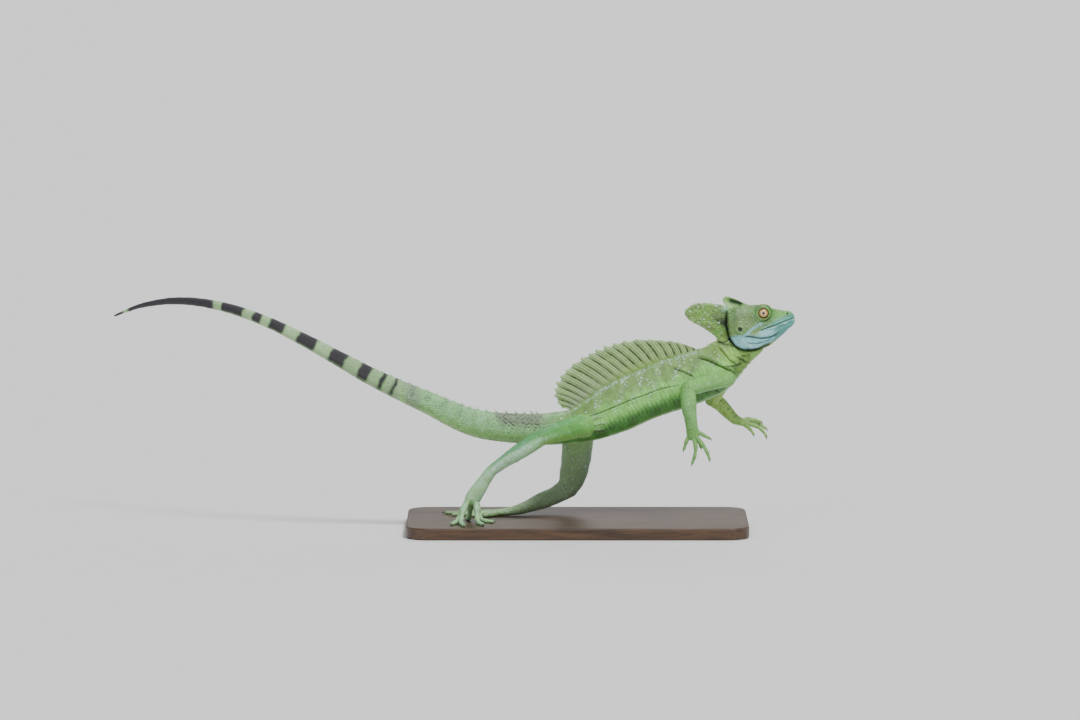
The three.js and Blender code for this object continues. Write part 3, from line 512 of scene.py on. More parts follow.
def crest_tube(rows, lean=0.0, cup=0.0):
    points, quads = tube(crest_rings(rows, lean, cup))
    return head_to_body(points), quads


# Where points lie on the animal

FAR_OUT = 9.0  # how far out a point counts that isn't near an axis at all
BATCH = 20000  # points measured against an axis at a time


class Axis:
    """The middle line of one region, with its sections, for finding what lies round it."""

    def __init__(self, name, rows, spacing, keel=None):
        self.name = name
        self.rows = np.array([r if len(r) > 5 else (*r[:3], r[3], r[3], r[4]) for r in rows], float)
        length = np.linalg.norm(np.diff(self.rows[:, :3], axis=0), axis=1).sum()
        self.t = np.linspace(0, len(rows) - 1, max(int(length / spacing), 6))
        self.middle, self.along, self.side, self.up, self.row = sections(self.rows, self.t)
        step = np.linalg.norm(np.gradient(self.middle, axis=0), axis=1)
        self.speed = step / (self.t[1] - self.t[0])
        self.keel = keel or (lambda t: np.zeros_like(t))

    def locate(self, points):
        """For each point, its station, its angle round the axis and how far out it is, 1 being the
        surface."""
        reach = 2 * self.row[:, 3:6].max()
        low, high = self.middle.min(axis=0) - reach, self.middle.max(axis=0) + reach
        close = ((points > low) & (points < high)).all(axis=1)
        count = len(points)
        found = [np.zeros(count), np.zeros(count), np.full(count, FAR_OUT), np.zeros(count, int)]
        if close.any():
            for whole, part in zip(found, self.locate_near(points[close])):
                whole[close] = part
        return found

    def locate_near(self, points):
        near = np.empty(len(points), int)
        for start in range(0, len(points), BATCH):
            part = points[start:start + BATCH]
            gap = (part ** 2).sum(1)[:, None] - 2 * part @ self.middle.T + (self.middle ** 2).sum(1)[None]
            near[start:start + BATCH] = gap.argmin(1)
        offset = points - self.middle[near]
        ahead = (offset * self.along[near]).sum(1)
        t = np.clip(self.t[near] + ahead / self.speed[near], 0, len(self.rows) - 1)
        inside = (self.t[near] > 0) & (self.t[near] < len(self.rows) - 1)
        row = self.row[near]
        across = (offset * self.side[near]).sum(1)
        rise = (offset * self.up[near]).sum(1)
        tall = np.where(rise > 0, row[:, 3], row[:, 4])
        high = np.clip(rise / tall, -1, 1)
        wide = row[:, 5] * (1 - self.keel(t) * high)
        past = np.where(inside, 0, ahead / np.minimum(tall, wide))
        out = np.sqrt((across / wide) ** 2 + (rise / tall) ** 2 + past ** 2)
        return t, np.arctan2(rise / tall, across / wide), out, near


def make_axes():
    axes = [Axis("trunk", SPINE, 3.0, spine_keel)]
    for name, limb in LIMBS.items():
        axes += [Axis(f"{name}_{part}", limb[part], 2.0) for part in ("upper", "fore", "palm")]
        axes += [Axis(f"{name}_digit_{i}", digit_rows(places, limb["root"], limb["tip"]), 1.2)
                 for i, places in enumerate(limb["digits"])]
    return axes


AXES = make_axes()
HEAD_REGION = len(AXES)


class Places:
    """What region each point belongs to, and where it lies in it."""

    def __init__(self, points, normals):
        self.points, self.normals = points, normals
        found = [axis.locate(points) for axis in AXES]
        out = np.stack([f[2] for f in found])
        self.head = body_to_head(points)
        self.region = out.argmin(0)
        pick = (self.region, np.arange(len(points)))
        self.t = np.stack([f[0] for f in found])[pick]
        self.angle = np.stack([f[1] for f in found])[pick]
        near = np.stack([f[3] for f in found])[pick]
        self.along = np.zeros_like(points)
        for r, axis in enumerate(AXES):
            mine = self.region == r
            self.along[mine] = axis.along[near[mine]]
        order = np.partition(out, 1, axis=0)
        self.meeting = bell(order[1], 1, 0.22)
        x, y, z = self.head.T
        on_head = (x > -7.6) & (z > -21.5) & (self.region == 0) & (self.t > len(SPINE) - 2.6)
        self.on_crest = (x <= -6.5) & (z > np.interp(x, [-44, -10, -6], [8, -14, -14])) & (np.abs(y) < 4.6)
        self.on_crest &= ((out[0] > 1.12) | (z > 8)) & (x > CREST_REAR)
        self.on_crest |= (z > 18.6) & (x < 14) & (x > CREST_REAR) & (np.abs(y) < 8)
        self.on_head = (on_head | (x > 6)) & (out[0] > 0.9) & ~self.on_crest
        self.on_head &= points[:, 2] > HEAD_LOWEST
        self.region = np.where(self.on_head | self.on_crest, HEAD_REGION, self.region)
        self.along[self.on_head | self.on_crest] = (math.cos(HEAD["pitch"]), 0, math.sin(HEAD["pitch"]))
        self.digit = np.array(["digit" in a.name for a in AXES] + [False])[self.region]
        self.limb = (self.region > 0) & (self.region < HEAD_REGION)

    def side_distance(self, spot):
        """How far each point is from a spot of the head, seen from the side."""
        return np.hypot(self.head[:, 0] - spot["x"], self.head[:, 2] - spot["z"])

    def region_names(self):
        return np.array([axis.name for axis in AXES] + ["head"])[self.region]

    def share_along(self):
        """How far along its region each point is, from 0 to 1."""
        ends = np.array([len(axis.rows) - 1 for axis in AXES] + [1.0])[self.region]
        return np.clip(self.t / ends, 0, 1)

    def only(self, mine):
        """The same facts for some of the points."""
        part = object.__new__(Places)
        for name, values in vars(self).items():
            setattr(part, name, values[mine])
        return part


# Sculpting

def distance_to_line(a, b, line):
    """Distance from points (a, b) of a plane to a bent line in it, the side of it they are on, and
    how far along it they are."""
    line = np.asarray(line, float)
    best = np.full(len(a), 1e9)
    sign = np.zeros(len(a))
    share = np.zeros(len(a))
    lengths = np.linalg.norm(np.diff(line, axis=0), axis=1)
    start = 0.0
    for (p, q), length in zip(zip(line[:-1], line[1:]), lengths):
        way = (q - p) / length
        f = np.clip((a - p[0]) * way[0] + (b - p[1]) * way[1], 0, length)
        da, db = a - p[0] - f * way[0], b - p[1] - f * way[1]
        gap = np.hypot(da, db)
        closer = gap < best
        best = np.where(closer, gap, best)
        sign = np.where(closer, np.sign(way[0] * db - way[1] * da), sign)
        share = np.where(closer, (start + f) / lengths.sum(), share)
        start += length
    return best, sign, share


def smooth_line(points, count=24):
    """A short list of points as a smooth line."""
    return rows_at(points, np.linspace(0, len(points) - 1, count))


def fold(a, b, line, depth, width, lift, ease=0.12):
    """A crease along a line with a soft roll of skin on its upper side, fading at both ends."""
    gap, sign, share = distance_to_line(a, b, smooth_line(line))
    fade = smoothstep(share, 0, ease) * smoothstep(1 - share, 0, ease)
    groove = -depth * bell(gap, 0, width)
    roll = lift * bell(gap * sign, 2.2 * width, 1.8 * width)
    return (groove + roll) * fade


# Folds of the body seen from the side, as x and z: line, depth, width and roll above it.
BODY_FOLDS = (
    ([(88, 115.2), (72.3, 111.8), (59.5, 106.9), (46.8, 102.4), (34, 96.7), (21.3, 91.4), (8, 86)],
     0.9, 0.7, 0.55),
    ([(103.7, 137.8), (112.2, 135.9), (119.9, 132.6), (129.2, 128.2), (136, 123)], 1.7, 0.85, 1.3),
    ([(122, 146.5), (126, 142), (131, 136.5), (136, 133)], 0.9, 0.7, 0.7),
    ([(83, 129.2), (91, 126.4), (100.3, 122.3)], 1.1, 0.65, 0.6),
    ([(131, 150), (137, 143), (144, 139)], 0.9, 0.8, 0.7),
    ([(134, 141), (141, 136.5), (148, 133)], 0.8, 0.7, 0.6),
    ([(121, 150), (128, 151.5), (134, 156)], 0.6, 0.6, 0.5),
    ([(126, 131), (134, 131), (142, 134)], 0.6, 0.6, 0.4),
    ([(108, 113), (116, 112), (123, 108)], 0.8, 0.7, 0.4),
)
HIP_CRINKLES = (
    [(10, 83.5), (17, 85.4), (24, 88.4)],
    [(10, 80), (17, 80.4), (27, 82.2)],
    [(10, 76.5), (17, 75.8), (25, 76.4)],
)

# Creases of the head seen from the side, in its own frame.
HEAD_FOLDS = (
    ([(3, -6.2), (7, -6.4), (12, -8), (17.5, -9.8), (24, -10.4), (30, -9.6), (34, -7.6)], 1.2, 0.7, 0.6),
    ([(5, -11.2), (12, -13.4), (19, -13.6), (26, -12.2)], 0.35, 0.6, 0.3),
    ([(2.5, -15.4), (9, -17.4), (16, -17.2), (23, -14.6)], 0.5, 0.7, 0.3),
    ([(16, 4.4), (20.4, 3.6), (25, 4.0), (29.5, 6)], 0.35, 0.4, 0.25),
    ([(30.5, 13.0), (36, 9.6), (42, 7.9)], -0.45, 0.9, 0.0),
)

# The groove between the head and the neck, behind the cheek and round the jowl.
HEAD_GROOVE = [(-6.6, 19), (-7.6, 12.3), (-8.4, 6.4), (-8.2, -2.3), (-7.4, -7.7), (-4.2, -13.2), (2.9, -17.2),
               (11.3, -18.6), (19, -17.4)]


def behind_head(place):
    """Distance in front of the head's groove, below zero behind it."""
    hx, _, hz = place.head.T
    gap, sign, _ = distance_to_line(hx, hz, smooth_line([(-6, 40)] + HEAD_GROOVE + [(34, -14)], 40))
    return gap * sign


def mouth_height(x):
    """Height of the line between the lips along the head."""
    rows = HEAD_ROWS[3:]
    return np.interp(x, rows[:, 0], rows[:, 7])


def bump_at(a, b, centre, radii, height):
    return height * np.exp(-(((a - centre[0]) / radii[0]) ** 2 + ((b - centre[1]) / radii[1]) ** 2))


def waves(points, length, seed):
    """Smooth uneven ups and downs of about unit height over a given length."""
    draw = np.random.default_rng(seed)
    total = np.zeros(len(points))
    for _ in range(7):
        way = unit(draw.normal(size=3)) * 2 * np.pi / (length * draw.uniform(0.7, 1.5))
        total += np.sin(points @ way + draw.uniform(0, 6.28))
    return total / 3


# Dents and swellings of the head and crests seen from the side: place, reach along x and z, height.
HEAD_SWELLINGS = (
    ((8, -11.5), (9, 5), 1.0), ((21, -6.4), (7, 2.2), 0.6), ((7, 7), (6.5, 6), -0.7),
    ((34, 5), (4.5, 2.4), -0.5), ((3, 12.5), (6, 3), 0.6),
)
CREST_SWELLINGS = (
    ((-13, 5), (4, 3), -0.9), ((-17, 10.5), (5, 1.6), -0.5), ((-14, 16), (5, 1.5), -0.4),
    ((-8.2, 19), (3.2, 3.4), 0.9),
)


def trunk_relief(place, sideways):
    """Folds, ribs, backbone and throat rings of the trunk and tail."""
    x, _, z = place.points.T
    torso = (place.region == 0) & (x > HIP_X)
    creases = [fold(x, z, *crease) for crease in BODY_FOLDS]
    creases += [fold(x, z, line, 0.55, 0.5, 0.6, 0.3) for line in HIP_CRINKLES]
    offset = sum(np.where(torso, sideways * crease, 0) for crease in creases)
    flank = smoothstep(x, 10, 30) * smoothstep(-x, -95, -75)
    rib = np.sin(2 * np.pi * (x + 0.35 * z) / 8.5)
    offset += np.where(torso, 0.16 * rib * flank * sideways, 0)
    backbone = 0.5 * bell(place.angle, np.pi / 2, 0.16) * smoothstep(place.t, 3, 6)
    throat = np.sin(2 * np.pi * place.t * 3.2) * smoothstep(place.t, PELVIS + 7.6, PELVIS + 8.4)
    throat *= 0.3 * smoothstep(-np.sin(place.angle), 0.3, 0.9)
    return offset + np.where(place.region == 0, backbone + throat, 0)


def crest_relief(place, side):
    """Groove behind the head, and the ribs, dents and hollow of the crests."""
    hx, _, hz = place.head.T
    around_groove = (hx > -15) & (hx < 26) & (place.points[:, 2] > GROOVE_LOWEST) & ~place.limb
    ahead = behind_head(place)
    groove = 0.75 * bell(ahead, 1.9, 1.3) - 1.9 * bell(ahead, -0.4, 1.0)
    offset = np.where(around_groove, side * groove * smoothstep(-hz, -21, -15), 0)
    ribs = np.sin(9.0 * np.arctan2(hz - 2, -hx - 2)) * smoothstep(-hx, 10, 16)
    ribbed = place.on_crest & (hx < -9)
    offset += np.where(ribbed, 0.22 * ribs + 0.15 * waves(place.points, 5.0, 21), 0)
    for swelling in CREST_SWELLINGS:
        offset += np.where(place.on_crest, side * bump_at(hx, hz, *swelling), 0)
    hollow = line_mask(hx, hz, [(6.6, 20.4), (1.4, 22.6), (-3.4, 24.9)], 1.8) * (place.normals[:, 1] < 0)
    return offset + np.where(place.on_crest & (hx > -7) & (hz > 18.4), -0.8 * hollow, 0)


def head_relief(place, side):
    """Creases, lips, swellings, ear and nostril of the head."""
    hx, _, hz = place.head.T
    offset = sum(side * fold(hx, hz, *crease) for crease in HEAD_FOLDS)
    gap = hz - mouth_height(hx)
    lips = 0.32 * bell(gap, 1.1, 0.7) + 0.36 * bell(gap, -1.2, 0.75) - 0.85 * bell(gap, 0, 0.34)
    offset += smoothstep(hx, MOUTH["corner"] - 1, MOUTH["corner"] + 3) * lips
    for swelling in HEAD_SWELLINGS:
        offset += side * bump_at(hx, hz, *swelling)
    radius, away = EAR["radius"], place.side_distance(EAR)
    offset += side * (0.45 * bell(away, radius + 0.5, 0.5) - 0.95 * smoothstep(-away, -radius, -radius + 0.7))
    radius, away = NOSTRIL["radius"], place.side_distance(NOSTRIL)
    offset += side * (0.4 * bell(away, 1.35, 0.5) - 1.3 * smoothstep(-away, -radius - 0.1, -0.25))
    return np.where(place.on_head, offset, 0)


def sculpted(points, quads):
    """The flesh with its folds, lips, nostrils, ears and eye sockets worked in."""
    normals = normals_of(points, quads)
    place = Places(points, normals)
    offset = 0.12 * waves(points, 9.0, 1) + 0.06 * waves(points, 3.2, 2)
    offset *= np.where(place.digit, 0.3, 1.0) * np.where(place.on_crest, 0.3, 1.0)
    offset += trunk_relief(place, smoothstep(np.abs(normals[:, 1]), 0.25, 0.6))
    side = smoothstep(np.abs(normals[:, 1]), 0.2, 0.5)
    offset += crest_relief(place, side) + head_relief(place, side)
    points = points + normals * offset[:, None]

    hy, from_eye = place.head[:, 1], place.side_distance(EYE)
    opening = LID["radius"] - LID["thick"]
    bed = EYE["y"] + np.sqrt(np.maximum((EYE["radius"] - 0.35) ** 2 - from_eye ** 2, 0))
    in_socket = place.on_head & (from_eye < opening + 0.15) & (np.abs(hy) > EYE["y"])
    sunk = np.sign(hy) * np.minimum(np.abs(points[:, 1]), bed)
    points[:, 1] = np.where(in_socket, sunk, points[:, 1])
    return points


def skin_shapes():
    """The closed shapes whose union is the flesh."""
    shapes = [trunk_tube(), head_tube(), crest_tube(REAR_CREST_ROWS),
              crest_tube(FRONT_CREST_ROWS, FRONT_CREST_LEAN, FRONT_CREST_CUP)]
    orbit_radii = (ORBIT["length"], ORBIT["depth"], ORBIT["height"])
    for hand in (1, -1):
        orbit = ball((ORBIT["x"], hand * ORBIT["y"], ORBIT["z"]), orbit_radii)
        lid = ring_about_y((EYE["x"], hand * LID["y"], EYE["z"]), LID["radius"], LID["thick"],
                           hand * LID["lean"])
        shapes += [(head_to_body(points), quads) for points, quads in (orbit, lid)]
    for limb in LIMBS.values():
        shapes += [segment_tube(limb[part]) for part in ("upper", "fore", "palm")]
        shapes += [digit_tube(places, limb["root"], limb["tip"]) for places in limb["digits"]]
    return shapes


def skin_mesh(voxel):
    """The union of the flesh, finer on the head, smoothed where limbs meet the body, and sculpted."""
    rough = mesh_from("rough_skin", *joined(skin_shapes()))
    remesh = rough.modifiers.new("union", "REMESH")
    remesh.mode = "VOXEL"
    remesh.voxel_size = voxel
    graph = bpy.context.evaluated_depsgraph_get()
    mesh = bpy.data.meshes.new_from_object(rough.evaluated_get(graph))
    bpy.data.objects.remove(rough)
    mesh.name = "skin"
    points, quads = mesh_arrays(mesh)
    points = relaxed(points, edges_of(mesh), 1.0, 3)
    place = Places(points, normals_of(points, quads))
    points = relaxed(points, edges_of(mesh), place.meeting * ~place.on_head, 14)
    set_points(mesh, points)

    work = bmesh.new()
    work.from_mesh(mesh)
    on_head = (place.on_head | place.on_crest)[quads].all(axis=1)
    edges = list({edge for face, finer in zip(work.faces, on_head) if finer for edge in face.edges})
    bmesh.ops.subdivide_edges(work, edges=edges, cuts=1, use_grid_fill=True)
    bmesh.ops.triangulate(work, faces=[face for face in work.faces if len(face.verts) > 4])
    work.to_mesh(mesh)
    work.free()
    points, quads = mesh_arrays(mesh)
    place = Places(points, normals_of(points, quads))
    points = relaxed(points, edges_of(mesh), (place.on_head | place.on_crest) * 1.0, 3)
    points = relaxed(sculpted(points, quads), edges_of(mesh), 0.5, 1)
    set_points(mesh, points)
    mesh.shade_smooth()
    return mesh


# Markings with painted shade and highlights: shares of each colour, the same for the skin and for the scales
# on it

MASKS = ("olive", "emerald", "pale", "blue", "teal", "yellow", "brown", "grey", "white", "dark", "plum")

# Bands of the tail and bars of white spots on the body, by x.
TAIL_PALE = ((-309, -300.5), (-282, -273.5), (-266, -259.5), (-246.5, -235), (-220, -208), (-194.5, -183.5),
             (-174.5, -165.8), (-161.5, -155.5), (-153, -146), (-389, -385))
TAIL_DARK = ((-300.5, -282), (-273.5, -266), (-259.5, -246.5), (-235, -220), (-208, -194.5), (-183.5, -174.5),
             (-165.8, -162), (-155.5, -152.5))
BODY_BARS = ((82, 85), (66, 70), (53, 57), (40, 44), (23, 27))
# Shadows on the rear crest, in the head's frame: place, reach along x and z, darkness.
CREST_SHADOWS = (
    ((-11.5, 7.4), (3.6, 4.4), 0.85), ((-18, 10.6), (6, 1.5), 0.4), ((-15, 16), (6, 1.2), 0.3),
)


def within(x, spans, soft):
    """Share of being inside any of some spans, with soft ends."""
    share = np.zeros(len(x))
    for low, high in spans:
        inside = smoothstep(x, low - soft, low + soft) * smoothstep(-x, -high - soft, -high + soft)
        share = np.maximum(share, inside)
    return share


def line_mask(a, b, line, width):
    gap, _, share = distance_to_line(a, b, smooth_line(line))
    return bell(gap, 0, width) * smoothstep(share, -0.1, 0.15) * smoothstep(1 - share, -0.1, 0.15)


def layer(m, mask):
    """A function that adds shares of colours, by name, where a mask is."""
    def lay(**shares):
        for name, share in shares.items():
            m[name] += mask * share
    return lay


def torso_marks_and_painted_light(place, lay, mottle, fine):
    """Back, belly, neck and flanks, with painted shade in the folds, the crinkles and on the lower flank, and
    painted highlights on the crinkles' rolls.
    """
    x, _, z = place.points.T
    high = np.sin(place.angle)
    upper = smoothstep(high + 0.14 * mottle, 0.0, 0.55)
    neck = smoothstep(place.t, PELVIS + 7.4, PELVIS + 8.6)
    lay(olive=upper * (0.82 - 0.35 * neck), yellow=neck * (0.62 - 0.2 * upper),
        pale=smoothstep(-high - 0.04 * mottle, 0.86, 0.97) * 0.6)
    # Upright bars of white spots, loose spots, and a line of them along the back
    slant = x - 0.3 * (z - 118)
    bars = within(slant, BODY_BARS, 2.2) * smoothstep(high, -0.25, 0.1)
    lay(white=bars * smoothstep(fine, 0.3, 0.8), pale=bars * 0.15)
    lay(white=smoothstep(fine + 0.3 * mottle, 1.0, 1.3) * upper * 0.6)
    lay(white=bell(high, 0.93, 0.05) * (place.t < PELVIS + 6.6) * 0.3)
    lay(white=neck * smoothstep(high, 0.1, 0.5) * smoothstep(fine, 0.8, 1.1) * 0.7,
        olive=neck * smoothstep(high, -0.1, 0.4) * 0.35, dark=neck * smoothstep(high, 0.1, 0.6) * 0.14)
    # Slanting rows on the bright flank; its lower half is darker, partly from denser dark rows of its own and
    # partly as painted shade
    zigzag = np.abs((z / 7.0) % 1 - 0.5) * 2.0
    rows = np.sin(2 * np.pi * (0.86 * x + 0.5 * z + zigzag) / 3.4)
    flank = smoothstep(high, -0.8, -0.5) * smoothstep(-high, -0.5, -0.1) * smoothstep(x, -5, 20)
    lower = smoothstep(-high, 0.15, 0.62) * smoothstep(high, -0.97, -0.84)
    lay(emerald=flank * smoothstep(rows, 0.0, 0.8) * 0.25,
        dark=flank * smoothstep(rows, 0.4, 0.9) * (0.08 + 0.22 * lower))
    lay(emerald=lower * 0.75, dark=lower * (0.4 + 0.15 * np.clip(mottle, -1, 1)))
    lay(dark=upper * smoothstep(np.sin(2 * np.pi * slant / 13.5 + 0.8 * mottle), 0.55, 0.95) * 0.16)
    # Painted shade in the body's folds
    for line, depth, width, _ in BODY_FOLDS:
        lay(dark=line_mask(x, z, line, width * (0.75 + 0.2 * depth)) * 0.75)
    # Hip crinkles: a painted highlight on the roll above each crease and painted shade in the crease
    for line in HIP_CRINKLES:
        lay(pale=line_mask(x, z - 1.1, line, 0.9) * 0.7, dark=line_mask(x, z, line, 0.5) * 0.5)


def tail_markings(place, lay, mottle, fine):
    """The tail from its green root to its banded end."""
    x = place.points[:, 0]
    high = np.sin(place.angle)
    banded = smoothstep(-x, 140, 150)
    root = 1 - banded
    lay(pale=0.16 + 0.12 * high.clip(0), blue=root * 0.12 * smoothstep(high, -0.7, 0),
        olive=root * (0.3 + 0.2 * smoothstep(mottle, -0.6, 0.6)),
        dark=root * smoothstep(fine - 0.4 * mottle, 0.3, 1.0) * 0.28,
        white=root * smoothstep(fine, 0.95, 1.25) * 0.4)
    # Bands, with edges that waver a little, and the dark tip
    x_edge = np.interp(place.t, AXES[0].t, AXES[0].middle[:, 0]) + 0.5 * mottle
    under, far = smoothstep(-high, 0.55, 0.9), smoothstep(-x, 190, 215)
    bright = within(x_edge, TAIL_PALE, 1.0) * banded
    lay(pale=bright * (0.3 + 0.3 * far) + under * 0.4, grey=bright * (0.5 - 0.25 * far),
        plum=within(x_edge, TAIL_DARK, 1.0) * (1 - 0.3 * under) * banded)
    lay(grey=within(x, ((-144.5, -131.8),), 4) * 0.6,
        plum=smoothstep(-x, 307, 310) * (1 - within(x, TAIL_PALE[-1:], 2)))
    faint = smoothstep(np.sin(2 * np.pi * x_edge / 13.0), 0.3, 0.8) * smoothstep(high, -0.2, 0.5)
    lay(dark=root * faint * 0.22 * smoothstep(-x, 60, 90))
    patch = within(x + 3 * mottle, ((-66, -26),), 7) * smoothstep(high + 0.15 * fine, 0.0, 0.5)
    lay(brown=patch * 0.7, grey=patch * 0.3, plum=patch * smoothstep(fine, 0.2, 0.8) * 0.6)


def limb_stage(place):
    """How far along its limb a place is: 0 at the body, 1 at the elbow or knee, 2 at the wrist or
    ankle, 3 at the tips."""
    parts = [axis.name.split("_")[-1] for axis in AXES] + ["head"]
    start = np.array([{"upper": 0.0, "fore": 1.0, "palm": 2.0}.get(part, 2.5) for part in parts])
    reach = np.array([{"upper": 1.0, "fore": 1.0}.get(part, 0.5) for part in parts])
    return start[place.region] + reach[place.region] * place.share_along()


def limb_marks_and_painted_light(place, m, mottle, fine):
    """Each limb from the body to the tips of its digits, with a painted highlight along the near arm and shin
    and, on the far leg, grey that is partly painted shade.
    """
    names = place.region_names()
    nx, ny, nz = place.normals.T
    outer = smoothstep(nz, -0.3, 0.7)
    # A painted highlight along the side of a limb that faces the camera
    painted_highlight = bell(nz, -0.05, 0.3) * smoothstep(-ny, 0.3, 0.8)
    stage = limb_stage(place)

    def along(*values):
        """A share along the limb, given at 0, 0.4, 0.9, 1.3, 1.8, 2.2 and 3."""
        return np.interp(stage, (0, 0.4, 0.9, 1.3, 1.8, 2.2, 3), values)

    lay = layer(m, np.char.startswith(names, "right_arm"))
    lay(emerald=along(0.1, 0.5, 0.6, 0.65, 0.65, 0.45, 0.3) * (1 - 0.3 * outer),
        olive=along(0.4, 0.2, 0.1, 0.1, 0.3, 0.8, 0.7) * (0.6 + 0.4 * outer),
        pale=along(0, 0, 0, 0, 0, 0, 0.12) + along(0, 0.2, 0.22, 0.25, 0.2, 0.05, 0) * painted_highlight)
    lay = layer(m, np.char.startswith(names, "left_arm"))
    lay(yellow=along(0.3, 0.7, 0.7, 0.7, 0.65, 0.5, 0.4), olive=0.25,
        pale=along(0.1, 0.1, 0.1, 0.15, 0.2, 0.3, 0.4),
        brown=along(0, 0, 0.2, 0.5, 0.5, 0.3, 0.3) * smoothstep(mottle + fine, 0.5, 1.2),
        dark=along(0, 0, 0.2, 0.4, 0.4, 0.35, 0.35) * smoothstep(fine, 0.6, 1.1))
    lay = layer(m, np.char.startswith(names, "right_leg"))
    lay(olive=along(0.3, 0, 0, 0, 0, 0, 0), blue=along(0, 0, 0, 0.12, 0.15, 0.15, 0.15),
        emerald=along(0.1, 0.95, 0.95, 0.45, 0.3, 0.1, 0) * (1 - 0.2 * outer),
        yellow=along(0, 0.35, 0.35, 0, 0, 0, 0) * smoothstep(-nz, 0.05, 0.6),
        teal=along(0, 0.15, 0.2, 0, 0, 0, 0) * smoothstep(nz, 0.45, 0.9),
        pale=along(0, 0, 0.15, 0.6, 0.7, 0.3, 0) * (1 - smoothstep(nz, 0.05, 0.5)),
        white=along(0, 0, 0.1, 0.35, 0.3, 0, 0) * painted_highlight)
    lay(emerald=along(0, 0, 0.2, 0.75, 0.7, 0.2, 0) * smoothstep(nz, 0.0, 0.5),
        pale=along(0, 0, 0, 0, 0.15, 0.5, 0.6),
        yellow=along(0, 0, 0, 0, 0, 0.3, 0.3) * smoothstep(mottle, 0.0, 1.0))
    # The far leg: its grey is partly its own tone and partly painted shade
    lay = layer(m, np.char.startswith(names, "left_leg"))
    lay(grey=along(0.2, 0.65, 0.7, 0.75, 0.7, 0.5, 0.45), olive=along(0.4, 0.15, 0.1, 0, 0, 0, 0),
        teal=along(0, 0.35, 0.3, 0, 0, 0, 0) * smoothstep(nx, 0.1, 0.7),
        pale=along(0, 0.12, 0.15, 0.15, 0.2, 0.35, 0.4), brown=along(0, 0, 0.1, 0.2, 0.15, 0, 0),
        white=smoothstep(fine + mottle, 1.2, 1.8) * 0.4)
    lay = layer(m, place.limb)
    lay(pale=along(0.35, 0.35, 0.2, 0, 0, 0, 0) * smoothstep(-nz, 0.45, 0.9),
        dark=along(0, 0.18, 0.18, 0.18, 0.15, 0.05, 0) * smoothstep(mottle + 0.5 * fine, 0.7, 1.2),
        white=along(0.25, 0.25, 0.25, 0.25, 0.2, 0, 0) * smoothstep(fine - 0.4 * mottle, 1.0, 1.3))
    m["dark"] += place.digit * smoothstep(np.sin(place.t * 2 * np.pi), 0.6, 0.95) * 0.16


def face_marks_and_shade(place, lay, mottle, fine):
    """The head as far back as its groove, with painted shade in its creases, in the slit of its mouth and in
    its ear and nostril.
    """
    hx, _, hz = place.head.T
    gap = hz - mouth_height(hx)
    front = smoothstep(hx, 24, 36)
    crown = smoothstep(hz + mottle, 10, 14)
    lay(olive=0.8 * (1 - 0.5 * crown) * (1 - front) + 0.3 * front,
        emerald=crown * smoothstep(hx, 12, 20) * 0.5 + front * 0.3,
        grey=bump_at(hx, hz, (3, 14), (9, 5), 0.5),
        dark=(1 - front) * (0.22 + 0.1 * np.clip(mottle, -1, 1)) * smoothstep(hz + mottle, -4, 2))
    # Snout, lips and jowl
    lay(teal=smoothstep(hx, 25, 34) * smoothstep(gap, 0.3, 1.2) * smoothstep(-gap, -6.5, -3.5) * 0.5)
    lay(teal=bell(gap, 1.4, 1.5) * smoothstep(hx, 15, 26) * 0.65)
    below = smoothstep(-gap, 0.1, 0.7) * smoothstep(hx, 12, 20)
    jowl = smoothstep(-(hz + 0.12 * hx + 0.9 * mottle), 2.6, 7.2) * smoothstep(-hx, -26, -14)
    low = smoothstep(-(hz + 19.5 - 0.28 * np.abs(hx - 6)), -1.5, 1.5)
    lay(blue=np.maximum(below * 0.85, jowl * 0.8) * (1 - 0.4 * low),
        teal=below * smoothstep(hx, 26, 32) * 0.9 + jowl * smoothstep(mottle, 0.1, 0.9) * 0.3,
        pale=(jowl + below).clip(0, 1) * 0.06)
    lay(blue=line_mask(hx, hz, [(5.2, -4.7), (11.9, -0.7), (16.5, 1.1), (21.1, 2.5)], 1.2) * 0.8)
    lay(white=bump_at(hx, hz, (24, -6.2), (6.5, 2.4), 0.6))
    lay(white=line_mask(hx, hz, [(-1.5, -9.5), (3, -12.2), (9, -14.4), (15, -15)], 1.7) * 0.45)
    # The lower lip's white line, and painted shade in the slit between the lips
    lay(white=bell(gap, -1.15, 0.55) * smoothstep(hx, 19, 25) * 0.65,
        dark=bell(gap, 0, 0.36) * smoothstep(hx, MOUTH["corner"], MOUTH["corner"] + 2) * 0.9)
    # Painted shade in the head's deeper creases
    for crease, depth, width, _ in HEAD_FOLDS:
        if depth > 0.3:
            lay(dark=line_mask(hx, hz, crease, width * (0.7 + 0.4 * depth)) * 0.7)
    # Ear, nostril and the rings round the eye; the dark in the ear and the nostril is painted shade
    away = place.side_distance(EAR)
    lay(dark=smoothstep(-away, -EAR["radius"], -EAR["radius"] + 0.8) * 0.95,
        pale=bell(away, EAR["radius"] + 0.7, 0.5) * 0.5, emerald=bump_at(hx, hz, (2, -2), (4, 3), 0.5))
    away = place.side_distance(NOSTRIL)
    lay(dark=smoothstep(-away, -NOSTRIL["radius"] - 0.1, -0.4) * 0.95)
    away = place.side_distance(EYE)
    lay(yellow=bell(away, 5.4, 0.7) * 0.5, emerald=bell(away, 7.4, 1.8) * 0.6,
        dark=bell(away, 4.1, 0.45) * 0.9 + bell(away, 6.7, 0.5) * 0.35)
    lay(white=smoothstep(fine, 0.9, 1.2) * (1 - front) * 0.45,
        dark=smoothstep(-fine, 0.7, 1.1) * (crown + 0.5 * (1 - front)).clip(0, 1) * 0.3)


